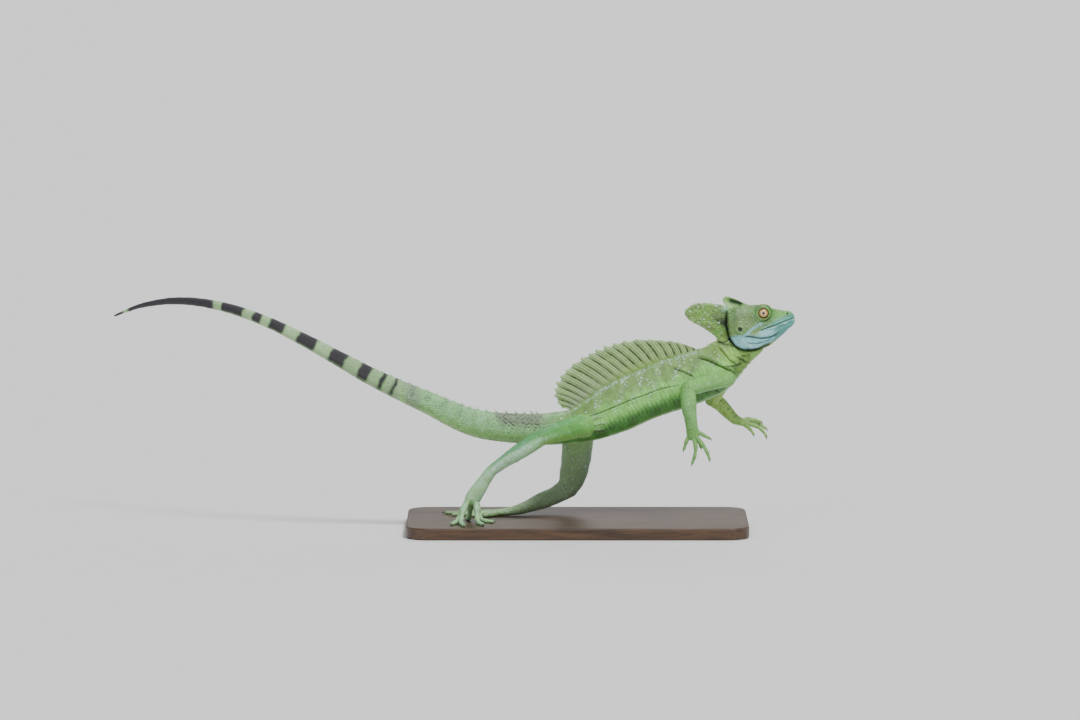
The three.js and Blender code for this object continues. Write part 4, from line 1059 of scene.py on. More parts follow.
def crest_marks_and_shade(place, m, mottle, fine):
    """The two crests, their painted shadows and the painted shade in the hollow between."""
    hx, _, hz = place.head.T
    lower, upper = (np.interp(hx, REAR_CREST_ROWS[::-1, 0], REAR_CREST_ROWS[::-1, k]) for k in (1, 2))
    edge = np.minimum(hz - lower, upper - hz)
    lay = layer(m, place.on_crest & ((hx < -9) | (hz < 18)))
    lay(yellow=0.3, olive=0.55 + 0.3 * smoothstep(mottle, -0.5, 0.5),
        pale=smoothstep(-edge, -2.2, -0.5) * 0.6 * smoothstep(-hx, 8, 16),
        brown=smoothstep(mottle, 0.5, 1.1) * 0.3, emerald=smoothstep(-mottle, 0.1, 0.6) * 0.5,
        dark=(0.1 + 0.1 * smoothstep(mottle, -0.2, 0.8)) * smoothstep(edge, 0.5, 2.0),
        white=smoothstep(fine, 0.7, 1.0) * 0.9)
    lay(dark=smoothstep(-fine, 0.7, 1.1) * 0.35 * smoothstep(edge, 0.5, 2.5))
    for centre, radii, depth in CREST_SHADOWS:
        lay(dark=bump_at(hx, hz, centre, radii, depth))
    bulge = bump_at(hx, hz, (-8.2, 19), (3.4, 3.6), 1.0)
    layer(m, place.on_crest)(blue=bulge * 0.5, pale=bulge * 0.4)
    # Painted shade in the hollow on the right face of the front crest's lobe
    hollow = line_mask(hx, hz, [(7.4, 20.2), (1.6, 22.8), (-3.6, 25.2)], 2.5) * (place.normals[:, 1] < 0)
    lay = layer(m, place.on_crest & (hx >= -10) & (hz > 18.4))
    lay(emerald=hollow, dark=hollow * 0.95, pale=(1 - hollow) * 0.45, yellow=(1 - hollow) * 0.3)


def head_marks_and_shade(place, m, mottle, fine):
    """The face in front of the head's groove, the painted shade in the groove, what is behind it, and the
    crests with a painted shadow line at the rear crest's foot.
    """
    hx, _, hz = place.head.T
    ahead = behind_head(place)
    in_front = smoothstep(ahead, -0.4, 0.6)
    face_marks_and_shade(place, layer(m, place.on_head * in_front), mottle, fine)
    layer(m, place.on_head * (1 - in_front))(yellow=0.45, olive=0.25)
    # Painted shade in the groove between the head and the neck
    above = (place.points[:, 2] > GROOVE_LOWEST) & ~place.limb
    beside = (hx > -15) & (hx < 24) & (np.abs(place.normals[:, 1]) > 0.15) & above
    deep = beside * bell(ahead, -0.6, 1.25) * smoothstep(-hz, -19, -12)
    layer(m, deep)(emerald=1.0, dark=0.9)
    crest_marks_and_shade(place, m, mottle, fine)
    # A painted shadow line where the rear crest's lower edge meets the neck
    foot = (hz < 2) & (hx < -6) & (hx > -24) & above
    m["dark"] += foot * line_mask(hx, hz, [(-18.3, -7.0), (-14, -9.8), (-9.8, -11.3)], 0.9) * 0.8


def markings(place):
    """Share of each colour at every place of the animal, painted shade and highlights among them."""
    m = {name: np.zeros(len(place.points)) for name in MASKS}
    mottle = waves(place.points, 8.0, 11)
    fine = waves(place.points, 2.4, 12)
    here = (place.region == 0) & ~place.on_head
    torso = here * smoothstep(place.points[:, 0], -34, 0)
    torso_marks_and_painted_light(place, layer(m, torso), mottle, fine)
    tail_markings(place, layer(m, here - torso), mottle, fine)
    limb_marks_and_painted_light(place, m, mottle, fine)
    head_marks_and_shade(place, m, mottle, fine)
    return {name: np.clip(share, 0, 1) for name, share in m.items()}


def write_shares(mesh, shares):
    for name, share in shares.items():
        attribute = mesh.attributes.new(name, "FLOAT", "POINT")
        attribute.data.foreach_set("value", np.asarray(share, np.float32))


# Scales

# A scale as a low keeled plate: along its lie, across it and out of the skin, in shares of its size.
SCALE_RIM = np.array([(-0.56, 0), (-0.3, 0.42), (0.2, 0.5), (0.66, 0), (0.2, -0.5), (-0.3, -0.42)])
SCALE_TOP = np.array([(-0.42, 0, 0.05), (-0.22, 0.3, 0.08), (0.17, 0.37, 0.13), (0.54, 0, 0.17),
                      (0.17, -0.37, 0.13), (-0.22, -0.3, 0.08)])
SCALE_KEEL = np.array([(-0.2, 0, 0.15), (0.26, 0, 0.22)])
SCALE_POINTS = np.concatenate([np.column_stack([SCALE_RIM, np.full(6, -0.1)]), SCALE_TOP, SCALE_KEEL])
SCALE_FACES = np.array(
    [(k, (k + 1) % 6, 6 + (k + 1) % 6) for k in range(6)] + [(k, 6 + (k + 1) % 6, 6 + k) for k in range(6)]
    + [(6, 7, 12), (7, 13, 12), (7, 8, 13), (8, 9, 13), (9, 10, 13), (10, 11, 13), (11, 12, 13), (11, 6, 12)])
# How much painted shade each corner of a scale takes: full at its rim, a quarter on its top, none on its keel
SCALE_RIM_SHARE = np.array([1.0] * 6 + [0.25] * 6 + [0.0] * 2)
KEEL_START = len(SCALE_RIM) + len(SCALE_TOP)  # the first point of a scale's keel

# Lengths of the scales in millimetres: by station along the trunk, and on limbs, digits and lips.
TRUNK_SCALES = (
    (0, 2, 5, 8, PELVIS, PELVIS + 1.5, PELVIS + 6, PELVIS + 8, PELVIS + 10),
    (1.2, 1.5, 1.9, 2.2, 2.0, 1.7, 1.65, 1.35, 1.3),
)
LIMB_SCALE = 1.45
DIGIT_SCALE = 1.05
LIP_SCALE = 2.3

# Heights of their keels, how slim they are, and how unevenly they lie (in radians) and grow.
KEELS = {"trunk": 1.0, "belly": 0.4, "tail": 1.5, "head": 0.3, "elsewhere": 0.6}
SLIMNESS = {"head": 1.05, "body": 0.86, "lips": 0.62}
UNEVEN_TURN = 0.09
UNEVEN_SIZE = (0.92, 1.08)

# The plates along the lips: how far apart they are, and how far above the mouth each row lies.
LIP_GAP = 2.15
LIP_ROWS = (1.25, -1.3)

# Rows of scales: how far apart they are along and across, in lengths of a scale, and how far off
# the skin a place of theirs may lie. The scales spread between them keep their own distance.
LATTICE = {"along": 0.62, "across": 0.8, "off_skin": 1.5, "stations": 60}
SPREAD_GAP = 0.74
BODY_SAMPLES = 90000
HEAD_SAMPLES = 160000


def scale_length(place):
    """Length of the scales at each place, in millimetres."""
    hx, _, hz = place.head.T
    size = np.interp(place.t, *TRUNK_SCALES)
    size = np.where(place.limb, LIMB_SCALE, size)
    size = np.where(place.digit, DIGIT_SCALE, size)
    on_head = np.where(hz > 12, 1.5, 1.15)
    on_head = np.where((hx > 28) & (hz > mouth_height(hx) + 2), 1.35, on_head)
    on_head = np.where(hz < mouth_height(hx) - 2.4, 1.0, on_head)
    near_eye = np.interp(place.side_distance(EYE), [3.8, 6, 7.5], [0.5, 0.75, 1.6])
    on_head = np.minimum(on_head, near_eye)
    size = np.where(place.on_head, on_head, size)
    on_crest = np.interp(hx, [-30, -8, 4], [1.75, 1.6, 1.15])
    on_crest *= np.interp(np.abs(place.normals[:, 1]), [0.3, 0.75], [0.5, 1.0])
    return np.where(place.on_crest, on_crest, size)


def scale_length_on(axis, t):
    """Length of the scales at stations of one axis."""
    if axis is AXES[0]:
        return np.interp(t, *TRUNK_SCALES)
    return np.full(len(t), DIGIT_SCALE if "digit" in axis.name else LIMB_SCALE)


def on_skin(tree, normals, points):
    """The nearest places on the skin, how far they are, and the way out of it there."""
    spots = np.empty_like(points)
    faces = np.empty(len(points), int)
    gaps = np.empty(len(points))
    for i, p in enumerate(points):
        spot, _, faces[i], gaps[i] = tree.find_nearest(p)
        spots[i] = spot
    return spots, normals[faces], gaps


def lattice(axis):
    """Rows of places round an axis, every second row shifted by half a scale."""
    stations = np.linspace(0, len(axis.rows) - 1, LATTICE["stations"])
    sizes = scale_length_on(axis, stations)
    angle = np.linspace(-np.pi / 2, 1.5 * np.pi, 181)
    high = np.sin(angle)
    points = []
    t, row = 0.0, 0
    while t < len(axis.rows) - 1:
        middle, _, side, up, numbers = sections(axis.rows, t)
        size = np.interp(t, stations, sizes)
        above, below, half = numbers[0, 3:6]
        across = np.cos(angle) * half * (1 - axis.keel(np.array([t])) * high)
        rise = high * np.where(high > 0, above, below)
        run = np.concatenate([[0], np.cumsum(np.hypot(np.diff(across), np.diff(rise)))])
        count = max(int(round(run[-1] / (size * LATTICE["across"]))), 5)
        at = (np.arange(count) + 0.5 * (row % 2)) / count * run[-1]
        a, r = np.interp(at, run, across), np.interp(at, run, rise)
        points.append(middle + side * a[:, None] + up * r[:, None])
        t += LATTICE["along"] * size / np.interp(t, axis.t, axis.speed)
        row += 1
    return np.concatenate(points)


def spread(points, spacing, taken, seed):
    """A choice of the points that keeps each its own spacing from the others and from those taken."""
    order = np.random.default_rng(seed).permutation(len(points))
    cell = float(spacing.max())
    cells = {}
    for p in taken.tolist():
        cells.setdefault((p[0] // cell, p[1] // cell, p[2] // cell), []).append(p)
    around = list(itertools.product((-1, 0, 1), repeat=3))
    chosen = []
    spots, gaps = points.tolist(), spacing.tolist()

    def is_free(x, y, z, a, b, c, least):
        for u, v, w in around:
            for q in cells.get((a + u, b + v, c + w), ()):
                if (q[0] - x) ** 2 + (q[1] - y) ** 2 + (q[2] - z) ** 2 < least:
                    return False
        return True

    for i in order.tolist():
        x, y, z = spots[i]
        home = x // cell, y // cell, z // cell
        if is_free(x, y, z, *home, gaps[i] ** 2):
            chosen.append(i)
            cells.setdefault(home, []).append((x, y, z))
    return np.array(chosen)


def skin_samples(points, quads, count, seed, weight):
    """Places spread at random over the skin, with the way out of it there."""
    draw = np.random.default_rng(seed)
    a, b, c, d = (points[quads[:, k]] for k in range(4))
    area = np.linalg.norm(np.cross(c - a, d - b), axis=1) * weight
    faces = draw.choice(len(quads), count, p=area / area.sum())
    u, v = draw.random((2, count, 1))
    spot = (a[faces] * (1 - u) + b[faces] * u) * (1 - v) + (d[faces] * (1 - u) + c[faces] * u) * v
    return spot, unit(np.cross(c - a, d - b))[faces]


def unwrap(place):
    """A place on a flat map of the skin: the trunk along the bottom, the head above it, then the
    limbs."""
    along = place.share_along()
    round_it = (place.angle / (2 * np.pi)) % 1
    hx, hy, hz = place.head.T
    head_round = (np.arctan2(hz, hy) / (2 * np.pi) + 0.25) % 1
    cell = np.clip(place.region - 1, 0, 31)
    u = np.where(place.region == 0, along, (cell % 8 + 0.02 + 0.96 * along) / 8)
    v = np.where(place.region == 0, 0.44 * round_it, 0.72 + (cell // 8 + 0.02 + 0.96 * round_it) * 0.07)
    on_top = place.region == HEAD_REGION
    u = np.where(on_top, np.clip((hx + 46) / 98, 0, 1), u)
    v = np.where(on_top, 0.46 + 0.24 * head_round, v)
    return np.stack([0.002 + 0.994 * u, 0.002 + 0.994 * v], axis=-1)


def scale_coat(name, place, size, slim, keel, seed):
    """A piece made of one keeled plate at each place."""
    draw = np.random.default_rng(seed)
    count, corners = len(size), len(SCALE_POINTS)
    back = np.where(place.limb[:, None], 1.0, -1.0) * place.along
    out = place.normals
    lie = unit(back - out * (back * out).sum(1, keepdims=True) + 1e-6)
    across = np.cross(out, lie)
    turn = draw.normal(0, UNEVEN_TURN, count)[:, None]
    lie, across = lie * np.cos(turn) + across * np.sin(turn), across * np.cos(turn) - lie * np.sin(turn)
    size = size * draw.uniform(*UNEVEN_SIZE, count)
    form = np.broadcast_to(SCALE_POINTS, (count, *SCALE_POINTS.shape)).copy()
    form[:, KEEL_START:, 2] *= keel[:, None]
    form[:, :, 1] *= slim[:, None]
    form *= size[:, None, None]
    points = (place.points[:, None] + lie[:, None] * form[..., :1] + across[:, None] * form[..., 1:2]
              + out[:, None] * form[..., 2:])
    faces = (SCALE_FACES[None] + np.arange(count)[:, None, None] * corners).reshape(-1, 3)
    coat = mesh_from(name, points.reshape(-1, 3), faces)
    shares = {key: np.repeat(value, corners) for key, value in markings(place).items()}
    shares["shade"] = np.repeat(draw.uniform(-1, 1, count), corners)
    shares["white"] = np.minimum(shares["white"] * np.repeat(draw.random(count) < 0.5, corners) * 1.5, 0.95)
    shares["rim"] = np.tile(SCALE_RIM_SHARE, count)
    write_shares(coat.data, shares)
    flat = unwrap(place)[:, None] + SCALE_POINTS[None, :, :2] * 0.0024
    uv = coat.data.uv_layers.new(name="OFBake")
    uv.data.foreach_set("uv", flat.reshape(-1, 2)[faces.ravel()].astype(np.float32).ravel())
    return coat


def lip_places():
    """Places of the plates along both lips, on both sides."""
    x = np.arange(MOUTH["corner"] + 1.0, MOUTH["tip"] - 1.4, LIP_GAP)
    rows = rows_at(HEAD_ROWS, np.interp(x, HEAD_ROWS[:, 0], np.arange(len(HEAD_ROWS))))
    places = [np.column_stack([x, hand * rows[:, 6], mouth_height(x) + above])
              for hand in (1, -1) for above in LIP_ROWS]
    return head_to_body(np.concatenate(places))


def head_weight(points, quads):
    """1 for the faces of the head and its crests, 0 for the others."""
    place = Places(points[quads].mean(axis=1), normals_of(points, quads)[quads[:, 0]])
    return np.where(place.on_head | place.on_crest, 1.0, 0.0)


def scale_roots(points, quads):
    """Places of all the scales on the skin, those along the lips last, and how many these are."""
    normals = unit(normals_of(points, quads)[quads].sum(axis=1))
    tree = BVHTree.FromPolygons(points.tolist(), quads.tolist())
    found, ways = [], []
    for r, axis in enumerate(AXES):
        spots, out, gap = on_skin(tree, normals, lattice(axis))
        keep = (gap < LATTICE["off_skin"]) & (Places(spots, out).region == r)
        found.append(spots[keep])
        ways.append(out[keep])
    lips, lips_out, _ = on_skin(tree, normals, lip_places())
    body = skin_samples(points, quads, BODY_SAMPLES, 5, 1.0)
    head = skin_samples(points, quads, HEAD_SAMPLES, 6, head_weight(points, quads))
    samples, out = (np.concatenate(pair) for pair in zip(body, head))
    spacing = scale_length(Places(samples, out)) * SPREAD_GAP
    keep = spread(samples, spacing, np.concatenate([*found, lips]), 7)
    points = np.concatenate([*found, samples[keep], lips])
    return Places(points, np.concatenate([*ways, out[keep], lips_out])), len(lips)


# The sail, spikes, claws and eyes

def sail_mesh(columns_per_ray=12, rows=72):
    """The sail as a thin ridged sheet: both its faces, with shares for rays, pleats and height; its material
    paints shade in the valleys between them.
    """
    rays = SAIL["rays"]
    columns = (rays - 1) * columns_per_ray + 1
    f = np.linspace(0, 1, columns)
    middle, _, side, up, row = sections(SPINE, SAIL["front"] + (SAIL["rear"] - SAIL["front"]) * f)
    root = middle + up * (row[:, 3:4] - SAIL["sink"])
    tips = rows_at(SAIL_EDGE, f * (len(SAIL_EDGE) - 1))
    tip = np.column_stack([tips[:, 0], root[:, 1], tips[:, 1]])
    phase = f * (rays - 1)
    on_ray = 0.5 + 0.5 * np.cos(2 * np.pi * phase)
    behind = (phase + 0.5) % 1
    tooth = smoothstep(behind, 0.05, 0.62) * (1 - smoothstep(behind, 0.66, 0.8))
    fine_tooth = 0.5 + 0.5 * np.cos(2 * np.pi * 3 * phase + 0.6)
    bow = unit(np.cross(tip - root, side))
    bow *= np.where(bow[:, 2:] < 0, -1, 1) * SAIL["bow"]
    level = np.linspace(0, 1, rows)[None, :]
    uneven = 0.012 * np.sin(7.1 * phase) + 0.01 * np.sin(4.3 * phase + 1)
    reach = level * (0.925 + 0.062 * tooth + 0.016 * fine_tooth + uneven)[:, None]
    points = (root[:, None] + (tip - root)[:, None] * reach[..., None]
              + bow[:, None] * np.sin(np.pi * reach)[..., None])
    column = phase[:, None]
    lean = 0.35 * np.sin(2 * np.pi * column / 3.1) + 0.25 * np.sin(2 * np.pi * (column / 1.7) + 3 * level)
    wave = lean * np.sin(np.pi * level * 0.9) * smoothstep(level, 0.1, 0.6)
    pleat = np.cos(2 * np.pi * 3 * column)
    rounded = smoothstep(on_ray, 0.08, 0.6)[:, None]
    half = 0.2 + 0.72 * rounded * (1 - 0.5 * level) * smoothstep(level, 0.02, 0.2)
    half += 0.1 * pleat * smoothstep(level, 0.2, 0.5)
    half = half * (1 - 0.7 * smoothstep(level, 0.93, 1.0))
    knots = 0.05 * np.sin(2 * np.pi * 26 * level + 1.7 * column) * on_ray[:, None]
    grid = np.stack([points + side[:, None] * (wave + hand * (half + knots))[..., None] for hand in (1, -1)])
    index = np.arange(grid[..., 0].size).reshape(grid.shape[:3])
    front, rear = index
    quads = np.concatenate([
        np.stack([front[:-1, :-1], front[1:, :-1], front[1:, 1:], front[:-1, 1:]], -1).reshape(-1, 4),
        np.stack([rear[:-1, :-1], rear[:-1, 1:], rear[1:, 1:], rear[1:, :-1]], -1).reshape(-1, 4),
        np.stack([front[:-1, -1], front[1:, -1], rear[1:, -1], rear[:-1, -1]], -1),
        np.stack([front[1:, 0], front[:-1, 0], rear[:-1, 0], rear[1:, 0]], -1),
        np.stack([front[0, :-1], front[0, 1:], rear[0, 1:], rear[0, :-1]], -1),
        np.stack([front[-1, 1:], front[-1, :-1], rear[-1, :-1], rear[-1, 1:]], -1),
    ])
    shares = {"ray": on_ray[:, None], "fine_ray": 0.5 + 0.5 * pleat, "height": level, "hind": f[:, None]}
    shares = {key: np.broadcast_to(value, grid.shape[:3]).ravel() for key, value in shares.items()}
    return grid.reshape(-1, 3), quads, shares


def tapered_tube(centre, long_way, side_way, half_long, half_side):
    """A closed tube of ovals along a bent middle line."""
    angle = np.linspace(0, 2 * np.pi, 12, endpoint=False)
    return tube(centre[:, None] + long_way * (half_long[:, None] * np.cos(angle))[..., None]
                + side_way * (half_side[:, None] * np.sin(angle))[..., None])


def spike_shapes():
    """Flattened spikes bent backwards, in rows along the top of the tail and the nape."""
    draw = np.random.default_rng(3)
    shapes = []
    for row in SPIKE_ROWS:
        for i in range(row["count"]):
            f = i / (row["count"] - 1)
            t = row["from"] + (row["to"] - row["from"]) * f
            middle, along, side, up, numbers = (v[0] for v in sections(SPINE, t))
            tall = (row["height"] + (row["least"] - row["height"]) * f) * draw.uniform(0.85, 1.1)
            length = row["length"] * (1 - 0.4 * f) * draw.uniform(0.92, 1.08)
            level = np.linspace(0, 1, 9)
            centre = (middle + up * (numbers[3] - SPIKE_ROOT + (tall + SPIKE_ROOT) * level[:, None])
                      - along * (length * (0.15 * level + 0.8 * level ** 2.2))[:, None])
            half_long = length * 0.5 * (1 - level) ** 0.75 + 0.05
            half_wide = row["width"] * 0.5 * (1 - level) ** 0.8 + 0.04
            shapes.append(tapered_tube(centre, along, side, half_long, half_wide))
    return shapes


def claw_shapes():
    """A curved claw at the end of each finger and toe."""
    shapes = []
    for limb in LIMBS.values():
        for places in limb["digits"]:
            rows = np.array(digit_rows(places, limb["root"], limb["tip"]), float)
            base, radius = rows[-1, :3], limb["tip"]
            way = np.array(places[-1], float) - base
            length = (np.linalg.norm(way) + 0.35) * 0.88
            way = unit(way)
            flat = abs(base[2]) < 4
            down = np.array([0, 0, -1.0]) + way * way[2]
            down = unit(down) if np.linalg.norm(down) > 0.2 else np.array([1.0, 0, 0])
            side = np.cross(way, down)
            level = np.linspace(0, 1, 12)
            rise, hook = (0.5, 0.15) if flat else (0.3, 0.7)
            drop = -rise * np.sin(np.pi * level) * 0.9 + hook * level ** 2
            centre = base + way * (length * level - 0.3)[:, None] + down * drop[:, None]
            half_down = radius * 0.78 * (1 - level) ** 0.62 + 0.05
            half_side = radius * 0.55 * (1 - level) ** 0.7 + 0.05
            shapes.append(tapered_tube(centre, down, side, half_down, half_side))
    return shapes


def eye_mesh(hand):
    """An eyeball with a bulge over its pupil, and each point's distance and turn from the pupil."""
    tilt = np.radians(np.concatenate([np.linspace(0.3, 60, 60), np.linspace(63, 179, 26)]))
    around = np.linspace(0, 2 * np.pi, 72, endpoint=False)
    out = EYE["radius"] * (1 + 0.03 * bell(tilt, 0, 0.5))
    x = (out * np.sin(tilt))[:, None] * np.cos(around)
    z = (out * np.sin(tilt))[:, None] * np.sin(around)
    y = np.repeat((hand * out * np.cos(tilt))[:, None], len(around), axis=1)
    points, quads = tube(np.stack([x, y, z], axis=-1))
    from_pupil = np.where(points[:, 1] * hand > 0, np.hypot(points[:, 0], points[:, 2]), 9)
    turn = np.arctan2(points[:, 2], points[:, 0])
    if hand < 0:
        quads = quads[:, ::-1]
    points = points + np.array([EYE["x"], hand * EYE["y"], EYE["z"]])
    return head_to_body(points), quads, from_pupil, turn


# Materials

def node(tree, kind, inputs=None, **settings):
    made = tree.nodes.new(kind)
    for name, value in settings.items():
        setattr(made, name, value)
    for name, value in (inputs or {}).items():
        if isinstance(value, bpy.types.NodeSocket):
            tree.links.new(value, made.inputs[name])
        else:
            made.inputs[name].default_value = value
    return made


def ranged(tree, value, low=0.0, high=1.0, to_low=0.0, to_high=1.0):
    """A value moved from one range into another."""
    return node(tree, "ShaderNodeMapRange", {"Value": value, "From Min": low, "From Max": high,
                                             "To Min": to_low, "To Max": to_high}).outputs[0]


def tinted(tree, colour, value):
    """A colour made lighter or darker."""
    return node(tree, "ShaderNodeHueSaturation", {"Color": colour, "Value": value}).outputs["Color"]


def object_place(tree):
    return node(tree, "ShaderNodeTexCoord").outputs["Object"]


def colour4(colour):
    return (*colour[:3], 1.0)


def attribute(tree, name):
    return node(tree, "ShaderNodeAttribute", attribute_name=name).outputs["Fac"]


def mixed(tree, factor, a, b):
    """One colour mixed into another; a and b are colours or sockets."""
    made = node(tree, "ShaderNodeMix", data_type="RGBA", clamp_factor=True)
    for socket, value in ((made.inputs[0], factor), (made.inputs[6], a), (made.inputs[7], b)):
        if isinstance(value, bpy.types.NodeSocket):
            tree.links.new(value, socket)
        elif isinstance(value, (int, float)):
            socket.default_value = value
        else:
            socket.default_value = colour4(value)
    return made.outputs[2]


def math_node(tree, operation, a, b, c=0.0):
    made = node(tree, "ShaderNodeMath", operation=operation)
    for socket, value in zip(made.inputs, (a, b, c)):
        if isinstance(value, bpy.types.NodeSocket):
            tree.links.new(value, socket)
        else:
            socket.default_value = value
    return made.outputs[0]


def group_sockets(tree, inputs, outputs):
    for name, (kind, default) in inputs.items():
        socket = tree.interface.new_socket(name=name, in_out="INPUT", socket_type=kind)
        socket.default_value = default
    for name, kind in outputs.items():
        tree.interface.new_socket(name=name, in_out="OUTPUT", socket_type=kind)
    return tree.nodes.new("NodeGroupInput"), tree.nodes.new("NodeGroupOutput")


def noise(tree, place, scale, detail=3.0, rough=0.55, distortion=0.0):
    made = node(tree, "ShaderNodeTexNoise", {"Vector": place, "Scale": scale, "Detail": detail,
                                             "Roughness": rough, "Distortion": distortion})
    return made.outputs["Fac"]


def grain_group():
    """Fine grain and mottling of hide: a colour in, the varied colour, a roughness and a normal out."""
    tree = bpy.data.node_groups.new("hide_grain", "ShaderNodeTree")
    source, sink = group_sockets(tree, {
        "Colour": ("NodeSocketColor", (0.2, 0.4, 0.1, 1)),
        "Mottling": ("NodeSocketFloat", 0.25),
        "Roughness": ("NodeSocketFloat", 0.45),
        "Relief": ("NodeSocketFloat", 0.3),
        "Grain Size": ("NodeSocketFloat", 0.0009),
    }, {"Colour": "NodeSocketColor", "Roughness": "NodeSocketFloat", "Normal": "NodeSocketVector"})
    place = object_place(tree)
    coarse = noise(tree, place, 150.0, 2.0)
    fine = noise(tree, place, math_node(tree, "DIVIDE", 1.0, source.outputs["Grain Size"]), 3.0, 0.5)
    both = math_node(tree, "MULTIPLY_ADD", coarse, 0.6, math_node(tree, "MULTIPLY", fine, 0.4))
    light = ranged(tree, both, 0.3, 0.7, -0.5, 0.5)
    gain = math_node(tree, "MULTIPLY_ADD", light, source.outputs["Mottling"], 1.0)
    least = math_node(tree, "SUBTRACT", source.outputs["Roughness"], 0.12)
    rough = math_node(tree, "MULTIPLY_ADD", fine, 0.25, least)
    bump = node(tree, "ShaderNodeBump", {"Height": fine, "Strength": source.outputs["Relief"],
                                         "Distance": 0.0002})
    tree.links.new(tinted(tree, source.outputs["Colour"], gain), sink.inputs["Colour"])
    tree.links.new(rough, sink.inputs["Roughness"])
    tree.links.new(bump.outputs["Normal"], sink.inputs["Normal"])
    return tree


def marks_and_painted_light_group(colours):
    """The animal's colours, painted shade and highlights among them, laid over each other by the shares that
    its surface carries, and painted shade at the scales' rims.
    """
    tree = bpy.data.node_groups.new("markings", "ShaderNodeTree")
    source, sink = group_sockets(tree, {
        "Base": ("NodeSocketColor", (0.2, 0.4, 0.1, 1)), "Rim Darkness": ("NodeSocketFloat", 0.4),
        "Scale Variation": ("NodeSocketFloat", 0.12),
    }, {"Colour": "NodeSocketColor"})
    colour = source.outputs["Base"]
    for name in MASKS:
        colour = mixed(tree, attribute(tree, name), colour, getattr(colours, name))
    gain = math_node(tree, "MULTIPLY_ADD", attribute(tree, "shade"), source.outputs["Scale Variation"], 1.0)
    # Painted shade at the scales' rims
    darker = math_node(tree, "MULTIPLY", attribute(tree, "rim"), source.outputs["Rim Darkness"])
    gain = math_node(tree, "MULTIPLY", gain, math_node(tree, "SUBTRACT", 1.0, darker))
    tree.links.new(tinted(tree, colour, gain), sink.inputs["Colour"])
    return tree


def shared_group(name, make, *values):
    return bpy.data.node_groups.get(name) or make(*values)


def principled(name):
    material = bpy.data.materials.new(name)
    material.use_nodes = True
    return material, material.node_tree, material.node_tree.nodes["Principled BSDF"]


def cover_with_grain(tree, shader, colour, mottling, roughness, relief, size=0.0009):
    """The hide's grain over a colour, joined to a shader."""
    grain = node(tree, "ShaderNodeGroup", {"Colour": colour, "Mottling": mottling, "Roughness": roughness,
                                           "Relief": relief, "Grain Size": size},
                 node_tree=shared_group("hide_grain", grain_group))
    for given, taken in (("Colour", "Base Color"), ("Roughness", "Roughness"), ("Normal", "Normal")):
        tree.links.new(grain.outputs[given], shader.inputs[taken])


def hide_material(name, colours, between=0.0, rim=0.4, relief=0.3, coat=0.0):
    """Hide with the animal's marks and painted light; between paints shade onto the skin that shows between
    scales, and rim paints shade at the scales' rims.
    """
    material, tree, shader = principled(name)
    marked = node(tree, "ShaderNodeGroup", {"Base": colour4(colours.green), "Rim Darkness": rim},
                  node_tree=shared_group("markings", marks_and_painted_light_group, colours))
    colour = mixed(tree, between, marked.outputs["Colour"], colours.between)
    cover_with_grain(tree, shader, colour, 0.25, 0.45, relief)
    shader.inputs["Coat Weight"].default_value = coat
    shader.inputs["Coat Roughness"].default_value = 0.35
    return material


def ramp(tree, factor, stops):
    made = node(tree, "ShaderNodeValToRGB", {"Fac": factor})
    elements = made.color_ramp.elements
    while len(elements) > 1:
        elements.remove(elements[-1])
    for i, (at, colour) in enumerate(stops):
        element = elements[0] if i == 0 else elements.new(at)
        element.position = at
        element.color = colour4(colour)
    return made.outputs["Color"]


def sail_material(colours):
    """Pale rays on a foot of hide, painted shade in the valleys between them, a grey rear and dots all over.
    """
    material, tree, shader = principled("sail_skin")
    ray, fine, height, hind = (attribute(tree, key) for key in ("ray", "fine_ray", "height", "hind"))
    place = object_place(tree)
    cloud = noise(tree, place, 130.0, 3.0)
    speck = noise(tree, place, 620.0, 2.0)
    outer = ranged(tree, height, 0.1, 0.3)
    colour = mixed(tree, outer, colours.sail_root, colours.sail_ray)
    # Painted shade in the valleys between the rays and between their pleats
    broad = ranged(tree, math_node(tree, "SUBTRACT", 1.0, ray), 0.7, 0.92)
    narrow = math_node(tree, "MULTIPLY", ranged(tree, fine, 0.4, 0.12), 0.85)
    valley_shade = math_node(tree, "MULTIPLY", math_node(tree, "MAXIMUM", broad, narrow), outer)
    uneven = ranged(tree, cloud, 0.25, 0.5, 0.6)
    colour = mixed(tree, math_node(tree, "MULTIPLY", valley_shade, uneven), colour, colours.sail_valley_shade)
    low = math_node(tree, "SUBTRACT", 1.0, ranged(tree, height, 0.15, 0.75))
    rear = ranged(tree, hind, 0.45, 0.95)
    for share, strength, over in (
        (math_node(tree, "MULTIPLY", low, rear), 0.75, colours.grey),
        (ranged(tree, speck, 0.54, 0.66), 0.65, colours.olive),
        (ranged(tree, height, 0.8, 1.0), 0.4, colours.pale),
    ):
        colour = mixed(tree, math_node(tree, "MULTIPLY", share, strength), colour, over)
    cover_with_grain(tree, shader, colour, 0.3, 0.55, 0.35)
    return material


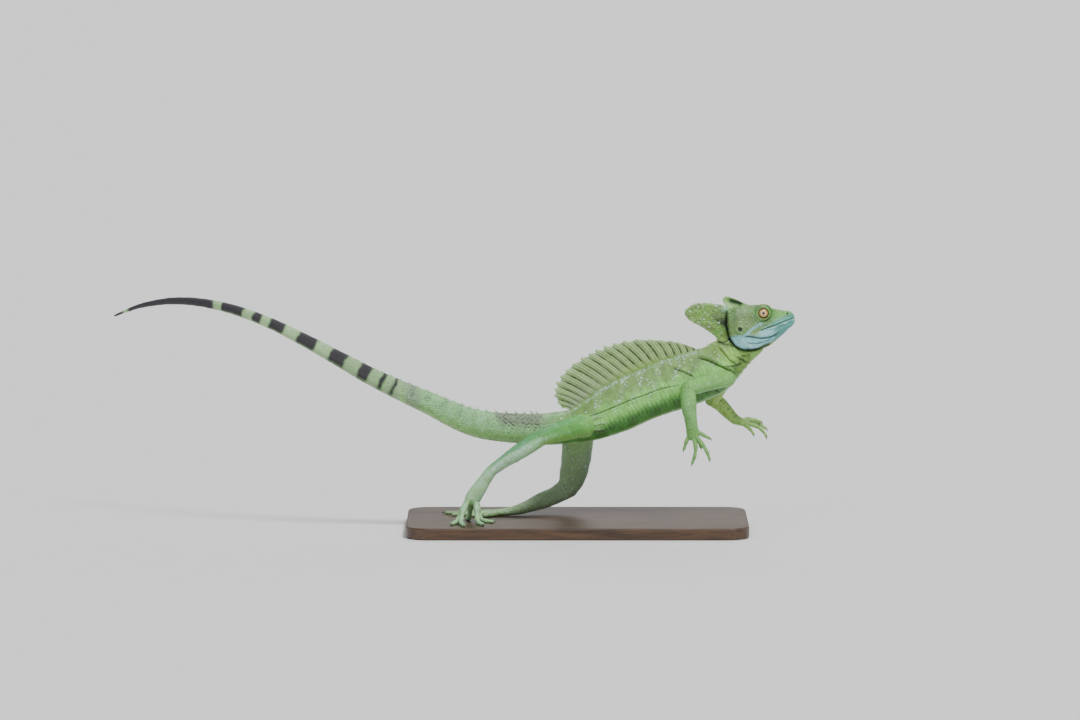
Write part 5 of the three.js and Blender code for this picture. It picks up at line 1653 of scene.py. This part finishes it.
def eye_material(colours):
    """A dark pupil in a gold iris with fine streaks, under a clear wet coat."""
    material, tree, shader = principled("eyeball")
    away = attribute(tree, "from_pupil")
    round_it = math_node(tree, "MULTIPLY", attribute(tree, "turn"), 9.0)
    across = math_node(tree, "MULTIPLY", away, 0.8)
    where = node(tree, "ShaderNodeCombineXYZ", {"X": round_it, "Y": across}).outputs[0]
    streak = node(tree, "ShaderNodeTexNoise", {"Vector": where, "Scale": 1.0, "Detail": 2.0},
                  noise_dimensions="2D").outputs["Fac"]
    rings = ramp(tree, math_node(tree, "DIVIDE", away, 6.0), [
        (0.0, colours.pupil), (0.19, colours.pupil), (0.21, colours.iris_inner), (0.36, colours.iris_inner),
        (0.45, colours.iris), (0.58, colours.iris_edge), (0.68, colours.pupil), (1.0, colours.pupil)])
    colour = tinted(tree, rings, ranged(tree, streak, 0.3, 0.7, 0.72, 1.25))
    tree.links.new(colour, shader.inputs["Base Color"])
    shader.inputs["Roughness"].default_value = 0.12
    shader.inputs["Coat Weight"].default_value = 1.0
    shader.inputs["Coat Roughness"].default_value = 0.03
    return material


def horn_material(name, light, dark):
    """Horn: dark and glossy, paler at its root."""
    material, tree, shader = principled(name)
    colour = ramp(tree, attribute(tree, "along"), [(0.0, light), (0.45, dark), (1.0, dark)])
    cover_with_grain(tree, shader, colour, 0.5, 0.35, 0.2, 0.0005)
    return material


def wood_material(colours):
    """Dark oiled wood with long grain along x."""
    material, tree, shader = principled("base_wood")
    place = object_place(tree)
    long_way, fine_way = (node(tree, "ShaderNodeMapping", {"Vector": place, "Scale": scale}).outputs[0]
                          for scale in ((2.2, 16.0, 16.0), (14.0, 420.0, 420.0)))
    rings = noise(tree, long_way, 6.0, 4.0, 0.5, 0.7)
    pores = noise(tree, fine_way, 3.0, 2.0, 0.5)
    colour = ramp(tree, rings, [(0.3, colours.wood_dark), (0.5, colours.wood), (0.62, colours.wood_dark),
                                (0.75, colours.wood)])
    colour = tinted(tree, colour, ranged(tree, pores, 0.35, 0.65, 0.7, 1.15))
    tree.links.new(colour, shader.inputs["Base Color"])
    tree.links.new(ranged(tree, pores, to_low=0.3, to_high=0.5), shader.inputs["Roughness"])
    bump = node(tree, "ShaderNodeBump", {"Height": pores, "Strength": 0.25, "Distance": 0.0003})
    tree.links.new(bump.outputs["Normal"], shader.inputs["Normal"])
    return material


def floor_material():
    material, tree, shader = principled("floor")
    tone = ranged(tree, noise(tree, object_place(tree), 40.0), to_low=0.74, to_high=0.8)
    colour = node(tree, "ShaderNodeCombineColor", {"Red": tone, "Green": tone, "Blue": tone})
    tree.links.new(colour.outputs[0], shader.inputs["Base Color"])
    shader.inputs["Roughness"].default_value = 0.7
    return material


# Settings

LENGTH = {"subtype": "DISTANCE", "unit": "LENGTH"}
ANGLE = {"subtype": "ANGLE", "unit": "ROTATION"}


def colour_prop(name, description, value):
    return bpy.props.FloatVectorProperty(name=name, description=description, default=value, size=3,
                                         min=0.0, max=1.0, subtype="COLOR")


def number_prop(name, description, value, least, most, **kind):
    return bpy.props.FloatProperty(name=name, description=description, default=value, min=least,
                                   max=most, **kind)


class BASILISK_PG_colours(bpy.types.PropertyGroup):
    """Colours of the animal and its base."""
    green: colour_prop("Green", "Flanks", (0.28, 0.7, 0.15))
    olive: colour_prop("Olive", "Back and cheeks", (0.17, 0.28, 0.075))
    # Emerald also carries, with Dark, painted shade in the head's groove, the crest's hollow and on the lower
    # flank
    emerald: colour_prop("Emerald", "Near arm and thigh", (0.07, 0.33, 0.04))
    pale: colour_prop("Pale", "Belly, shins and toes", (0.46, 0.68, 0.36))
    blue: colour_prop("Blue", "Jaws and lips", (0.29, 0.72, 0.84))
    yellow: colour_prop("Yellow", "Neck and crest", (0.36, 0.6, 0.07))
    brown: colour_prop("Brown", "Patch on the tail's root", (0.17, 0.15, 0.11))
    # On the far leg Grey is partly painted shade
    grey: colour_prop("Grey", "Far leg and tail", (0.25, 0.29, 0.22))
    white: colour_prop("White", "Small spots", (0.62, 0.88, 0.87))
    # Dark is painted shade in creases, grooves, holes, hollows and on the lower flank, as well as real bands
    # and mottling
    dark: colour_prop("Dark", "Bands and creases", (0.014, 0.02, 0.012))
    teal: colour_prop("Teal", "Lips and snout", (0.1, 0.4, 0.34))
    plum: colour_prop("Plum", "Dark bands of the tail", (0.022, 0.018, 0.026))
    # Between is painted shade on the skin that shows between the scales
    between: colour_prop("Between", "Skin between the scales", (0.03, 0.07, 0.015))
    sail_ray: colour_prop("Sail Ray", "Rays of the sail", (0.33, 0.48, 0.18))
    sail_root: colour_prop("Sail Root", "Foot of the sail", (0.24, 0.4, 0.08))
    # The sail's stripe colour is painted shade in the valleys between its rays
    sail_valley_shade: colour_prop("Sail Stripe", "Stripes between the rays", (0.03, 0.06, 0.012))
    pupil: colour_prop("Pupil", "Pupil and eye rim", (0.006, 0.005, 0.004))
    iris_inner: colour_prop("Inner Iris", "Ring round the pupil", (0.72, 0.5, 0.27))
    iris: colour_prop("Iris", "Iris", (0.5, 0.29, 0.06))
    iris_edge: colour_prop("Iris Edge", "Outer iris", (0.34, 0.2, 0.04))
    claw: colour_prop("Claw", "Root of the claws", (0.24, 0.27, 0.14))
    claw_tip: colour_prop("Claw Tip", "Points of the claws", (0.09, 0.085, 0.05))
    wood: colour_prop("Wood", "Base", (0.085, 0.045, 0.022))
    wood_dark: colour_prop("Dark Wood", "Grain of the base", (0.04, 0.02, 0.01))


class BASILISK_PG_form(bpy.types.PropertyGroup):
    """Sizes of the animal's surface."""
    voxel: number_prop("Skin Grain", "Size of the skin's faces", 0.0006, 0.0003, 0.003, **LENGTH)
    keel: number_prop("Keel", "How high the scales' keels stand", 1.0, 0.0, 3.0, subtype="FACTOR")


class BASILISK_PG_stage(bpy.types.PropertyGroup):
    """Camera, floor and lights."""
    distance: number_prop("Camera Distance", "From the camera to the animal", 6.0, 1.0, 20.0, **LENGTH)
    elevation: number_prop("Camera Elevation", "Angle of the camera above the horizon",
                           math.radians(6), 0.0, math.radians(80), **ANGLE)
    frame_width: number_prop("Frame Width", "Width of the view at the animal", 0.918, 0.1, 5.0, **LENGTH)
    floor_size: number_prop("Floor Size", "Side of the floor", 80.0, 1.0, 200.0, **LENGTH)
    sun: number_prop("Key Light", "Strength of the soft light from above", 3.4, 0.0, 20.0)
    sky: number_prop("Room Light", "Strength of the light from all round", 0.42, 0.0, 5.0)


# Pieces

FLESH_NODES = (
    "head", "rear_crest", "front_crest", "neck", "chest", "abdomen", "pelvis",
    *(f"tail_{i}" for i in range(1, 6)),
    *(f"{side}_{part}" for side in ("right", "left")
      for part in ("upper_arm", "forearm", "hand", "thigh", "shin", "foot")),
)


def finish_piece(piece, material, slot, *nodes):
    piece.data.materials.clear()
    piece.data.materials.append(material)
    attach(piece, "root")
    if nodes:
        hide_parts(*nodes)


class BASILISK_OT_skin(bpy.types.Operator):
    """Build the skin as one surface over all the flesh"""
    bl_idname = "basilisk.skin"
    bl_label = "Skin"

    def execute(self, context):
        colours = context.scene.basilisk_colours
        skin = object_of(skin_mesh(context.scene.basilisk_form.voxel))
        points, quads = mesh_arrays(skin.data)
        write_shares(skin.data, markings(Places(points, normals_of(points, quads))))
        # The skin shows only between the scales and takes painted shade there
        material = hide_material("bare_skin", colours, between=0.45, relief=0.4)
        finish_piece(skin, material, "skin", *FLESH_NODES)
        return {"FINISHED"}


class BASILISK_OT_scales(bpy.types.Operator):
    """Cover the skin with keeled scales"""
    bl_idname = "basilisk.scales"
    bl_label = "Scales"

    def execute(self, context):
        colours = context.scene.basilisk_colours
        points, quads = mesh_arrays(bpy.data.objects["skin"].data)
        place, lips = scale_roots(points, quads)
        size = scale_length(place)
        trunk, x = place.region == 0, place.points[:, 0]
        keel = np.where(place.on_head, KEELS["head"], KEELS["elsewhere"])
        keel = np.where(trunk, KEELS["trunk"], keel)
        keel = np.where(trunk & (np.sin(place.angle) < -0.5), KEELS["belly"], keel)
        keel = np.where(trunk & (x < HIP_X), KEELS["tail"], keel) * context.scene.basilisk_form.keel
        slim = np.where(place.on_head | place.on_crest, SLIMNESS["head"], SLIMNESS["body"])
        size[-lips:] = LIP_SCALE
        slim[-lips:] = SLIMNESS["lips"]
        body = trunk & (x > HIP_X)
        groups = {
            "torso_scales": (body & (place.t < PELVIS + 6), "skin"),
            "neck_scales": (body & (place.t >= PELVIS + 6), "skin"),
            "tail_scales": (trunk & ~body, "tail_skin"),
            "head_scales": (place.on_head, "skin"),
            "crest_scales": (place.on_crest, "crest_skin"),
        }
        names = place.region_names()
        for limb in LIMBS:
            groups[f"{limb}_scales"] = (np.char.startswith(names, limb), "limb_skin")
        material = hide_material("scales", colours, rim=0.45, relief=0.25, coat=0.22)
        for seed, (name, (mine, slot)) in enumerate(groups.items()):
            coat = scale_coat(name, place.only(mine), size[mine], slim[mine], keel[mine], seed)
            finish_piece(coat, material, slot)
        return {"FINISHED"}


class BASILISK_OT_sail(bpy.types.Operator):
    """Raise the ridged sail on the back"""
    bl_idname = "basilisk.sail"
    bl_label = "Sail"

    def execute(self, context):
        points, quads, shares = sail_mesh()
        sail = mesh_from("sail", points, quads)
        write_shares(sail.data, shares)
        finish_piece(sail, sail_material(context.scene.basilisk_colours), "crest_skin", "dorsal_sail")
        return {"FINISHED"}


class BASILISK_OT_spikes(bpy.types.Operator):
    """Set the spikes of the tail and the nape, and the claws"""
    bl_idname = "basilisk.spikes"
    bl_label = "Spikes and Claws"

    def execute(self, context):
        colours = context.scene.basilisk_colours
        spikes = mesh_from("spikes", *joined(spike_shapes()))
        points, quads = mesh_arrays(spikes.data)
        shares = markings(Places(points, normals_of(points, quads)))
        for key in ("brown", "plum", "dark"):
            shares[key] *= 0.35 * (points[:, 0] > -140)
        shares["pale"] = np.clip(shares["pale"] + 0.35, 0, 1)
        write_shares(spikes.data, shares)
        finish_piece(spikes, hide_material("spikes", colours, rim=0.0, relief=0.3, coat=0.1), "tail_skin")
        shapes = claw_shapes()
        claws = mesh_from("claws", *joined(shapes))
        share = np.concatenate([np.arange(len(points)) / len(points) for points, _ in shapes])
        write_shares(claws.data, {"along": share})
        finish_piece(claws, horn_material("claw", colours.claw, colours.claw_tip), "limb_skin")
        return {"FINISHED"}


class BASILISK_OT_eyes(bpy.types.Operator):
    """Set the eyes in their sockets"""
    bl_idname = "basilisk.eyes"
    bl_label = "Eyes"

    def execute(self, context):
        material = eye_material(context.scene.basilisk_colours)
        for side, hand in (("left", 1), ("right", -1)):
            points, quads, from_pupil, turn = eye_mesh(hand)
            eye = mesh_from(f"{side}_eyeball", points, quads)
            write_shares(eye.data, {"from_pupil": from_pupil, "turn": turn})
            finish_piece(eye, material, "eye", f"{side}_eye")
        return {"FINISHED"}


class BASILISK_OT_base(bpy.types.Operator):
    """Finish the display base in oiled wood"""
    bl_idname = "basilisk.base"
    bl_label = "Base"

    def execute(self, context):
        material = wood_material(context.scene.basilisk_colours)
        base = bpy.data.objects["stand_base"]
        for slot in base.material_slots:
            slot.material = material
        return {"FINISHED"}


CAMERA_AIM = (-29.75, 0, 135.0)  # what the camera looks at, where the animal is laid out
# The lamps: the way their light goes, how soft its shadows are in degrees, and its share of strength.
LAMPS = (
    ("key", (-0.35, 0.55, -1.0), 14, 1.0),
    ("fill", (0.8, 0.75, -0.35), 45, 0.16),
    ("back", (-0.2, -1.0, -0.8), 30, 0.2),
)


class BASILISK_OT_stage(bpy.types.Operator):
    """Set the floor, lights and camera"""
    bl_idname = "basilisk.stage"
    bl_label = "Stage"

    def execute(self, context):
        settings = context.scene.basilisk_stage
        bpy.ops.mesh.primitive_plane_add(size=settings.floor_size, location=(0, 0, 0))
        floor = context.object
        floor.name = "floor"
        floor.data.materials.append(floor_material())
        aim = Vector(((ORIGIN + CAMERA_AIM) * MM).tolist())
        back = Vector((0, -math.cos(settings.elevation), math.sin(settings.elevation)))
        camera = bpy.data.cameras.new("camera")
        camera.sensor_width = 36
        camera.lens = camera.sensor_width * settings.distance / settings.frame_width
        camera.clip_end = 200
        holder = bpy.data.objects.new("camera", camera)
        holder.location = aim + back * settings.distance
        holder.rotation_mode = "QUATERNION"
        holder.rotation_quaternion = (-back).to_track_quat("-Z", "Y")
        context.scene.collection.objects.link(holder)
        context.scene.camera = holder
        for name, way, softness, strength in LAMPS:
            lamp = bpy.data.lights.new(name, "SUN")
            lamp.angle = math.radians(softness)
            lamp.energy = strength * settings.sun
            lamp_object = bpy.data.objects.new(name, lamp)
            lamp_object.rotation_mode = "QUATERNION"
            lamp_object.rotation_quaternion = Vector(way).to_track_quat("-Z", "Y")
            context.scene.collection.objects.link(lamp_object)
        world = bpy.data.worlds.new("studio")
        world.use_nodes = True
        background = world.node_tree.nodes["Background"]
        background.inputs["Color"].default_value = (0.95, 0.97, 1.0, 1)
        background.inputs["Strength"].default_value = settings.sky
        context.scene.world = world
        return {"FINISHED"}


class BASILISK_PT_panel(bpy.types.Panel):
    """Lists the pieces and their settings"""
    bl_label = "Basilisk"
    bl_idname = "BASILISK_PT_panel"
    bl_space_type = "VIEW_3D"
    bl_region_type = "UI"
    bl_category = "Basilisk"

    def draw(self, context):
        for group in GROUPS:
            settings = getattr(context.scene, group)
            for name in settings.__annotations__:
                self.layout.prop(settings, name)
        for piece in PIECES:
            self.layout.operator(piece.bl_idname)


PIECES = (BASILISK_OT_skin, BASILISK_OT_scales, BASILISK_OT_sail, BASILISK_OT_spikes, BASILISK_OT_eyes,
          BASILISK_OT_base, BASILISK_OT_stage)
GROUPS = {"basilisk_form": BASILISK_PG_form, "basilisk_colours": BASILISK_PG_colours,
          "basilisk_stage": BASILISK_PG_stage}


def register():
    for cls in (*GROUPS.values(), *PIECES, BASILISK_PT_panel):
        bpy.utils.register_class(cls)
    for name, group in GROUPS.items():
        setattr(bpy.types.Scene, name, bpy.props.PointerProperty(type=group))


def unregister():
    for name in GROUPS:
        delattr(bpy.types.Scene, name)
    for cls in (BASILISK_PT_panel, *reversed(PIECES), *reversed(GROUPS.values())):
        bpy.utils.unregister_class(cls)


def main():
    register()
    for piece in ("skin", "scales", "sail", "spikes", "eyes", "base", "stage"):
        getattr(bpy.ops.basilisk, piece)()


if __name__ == "__main__":
    main()
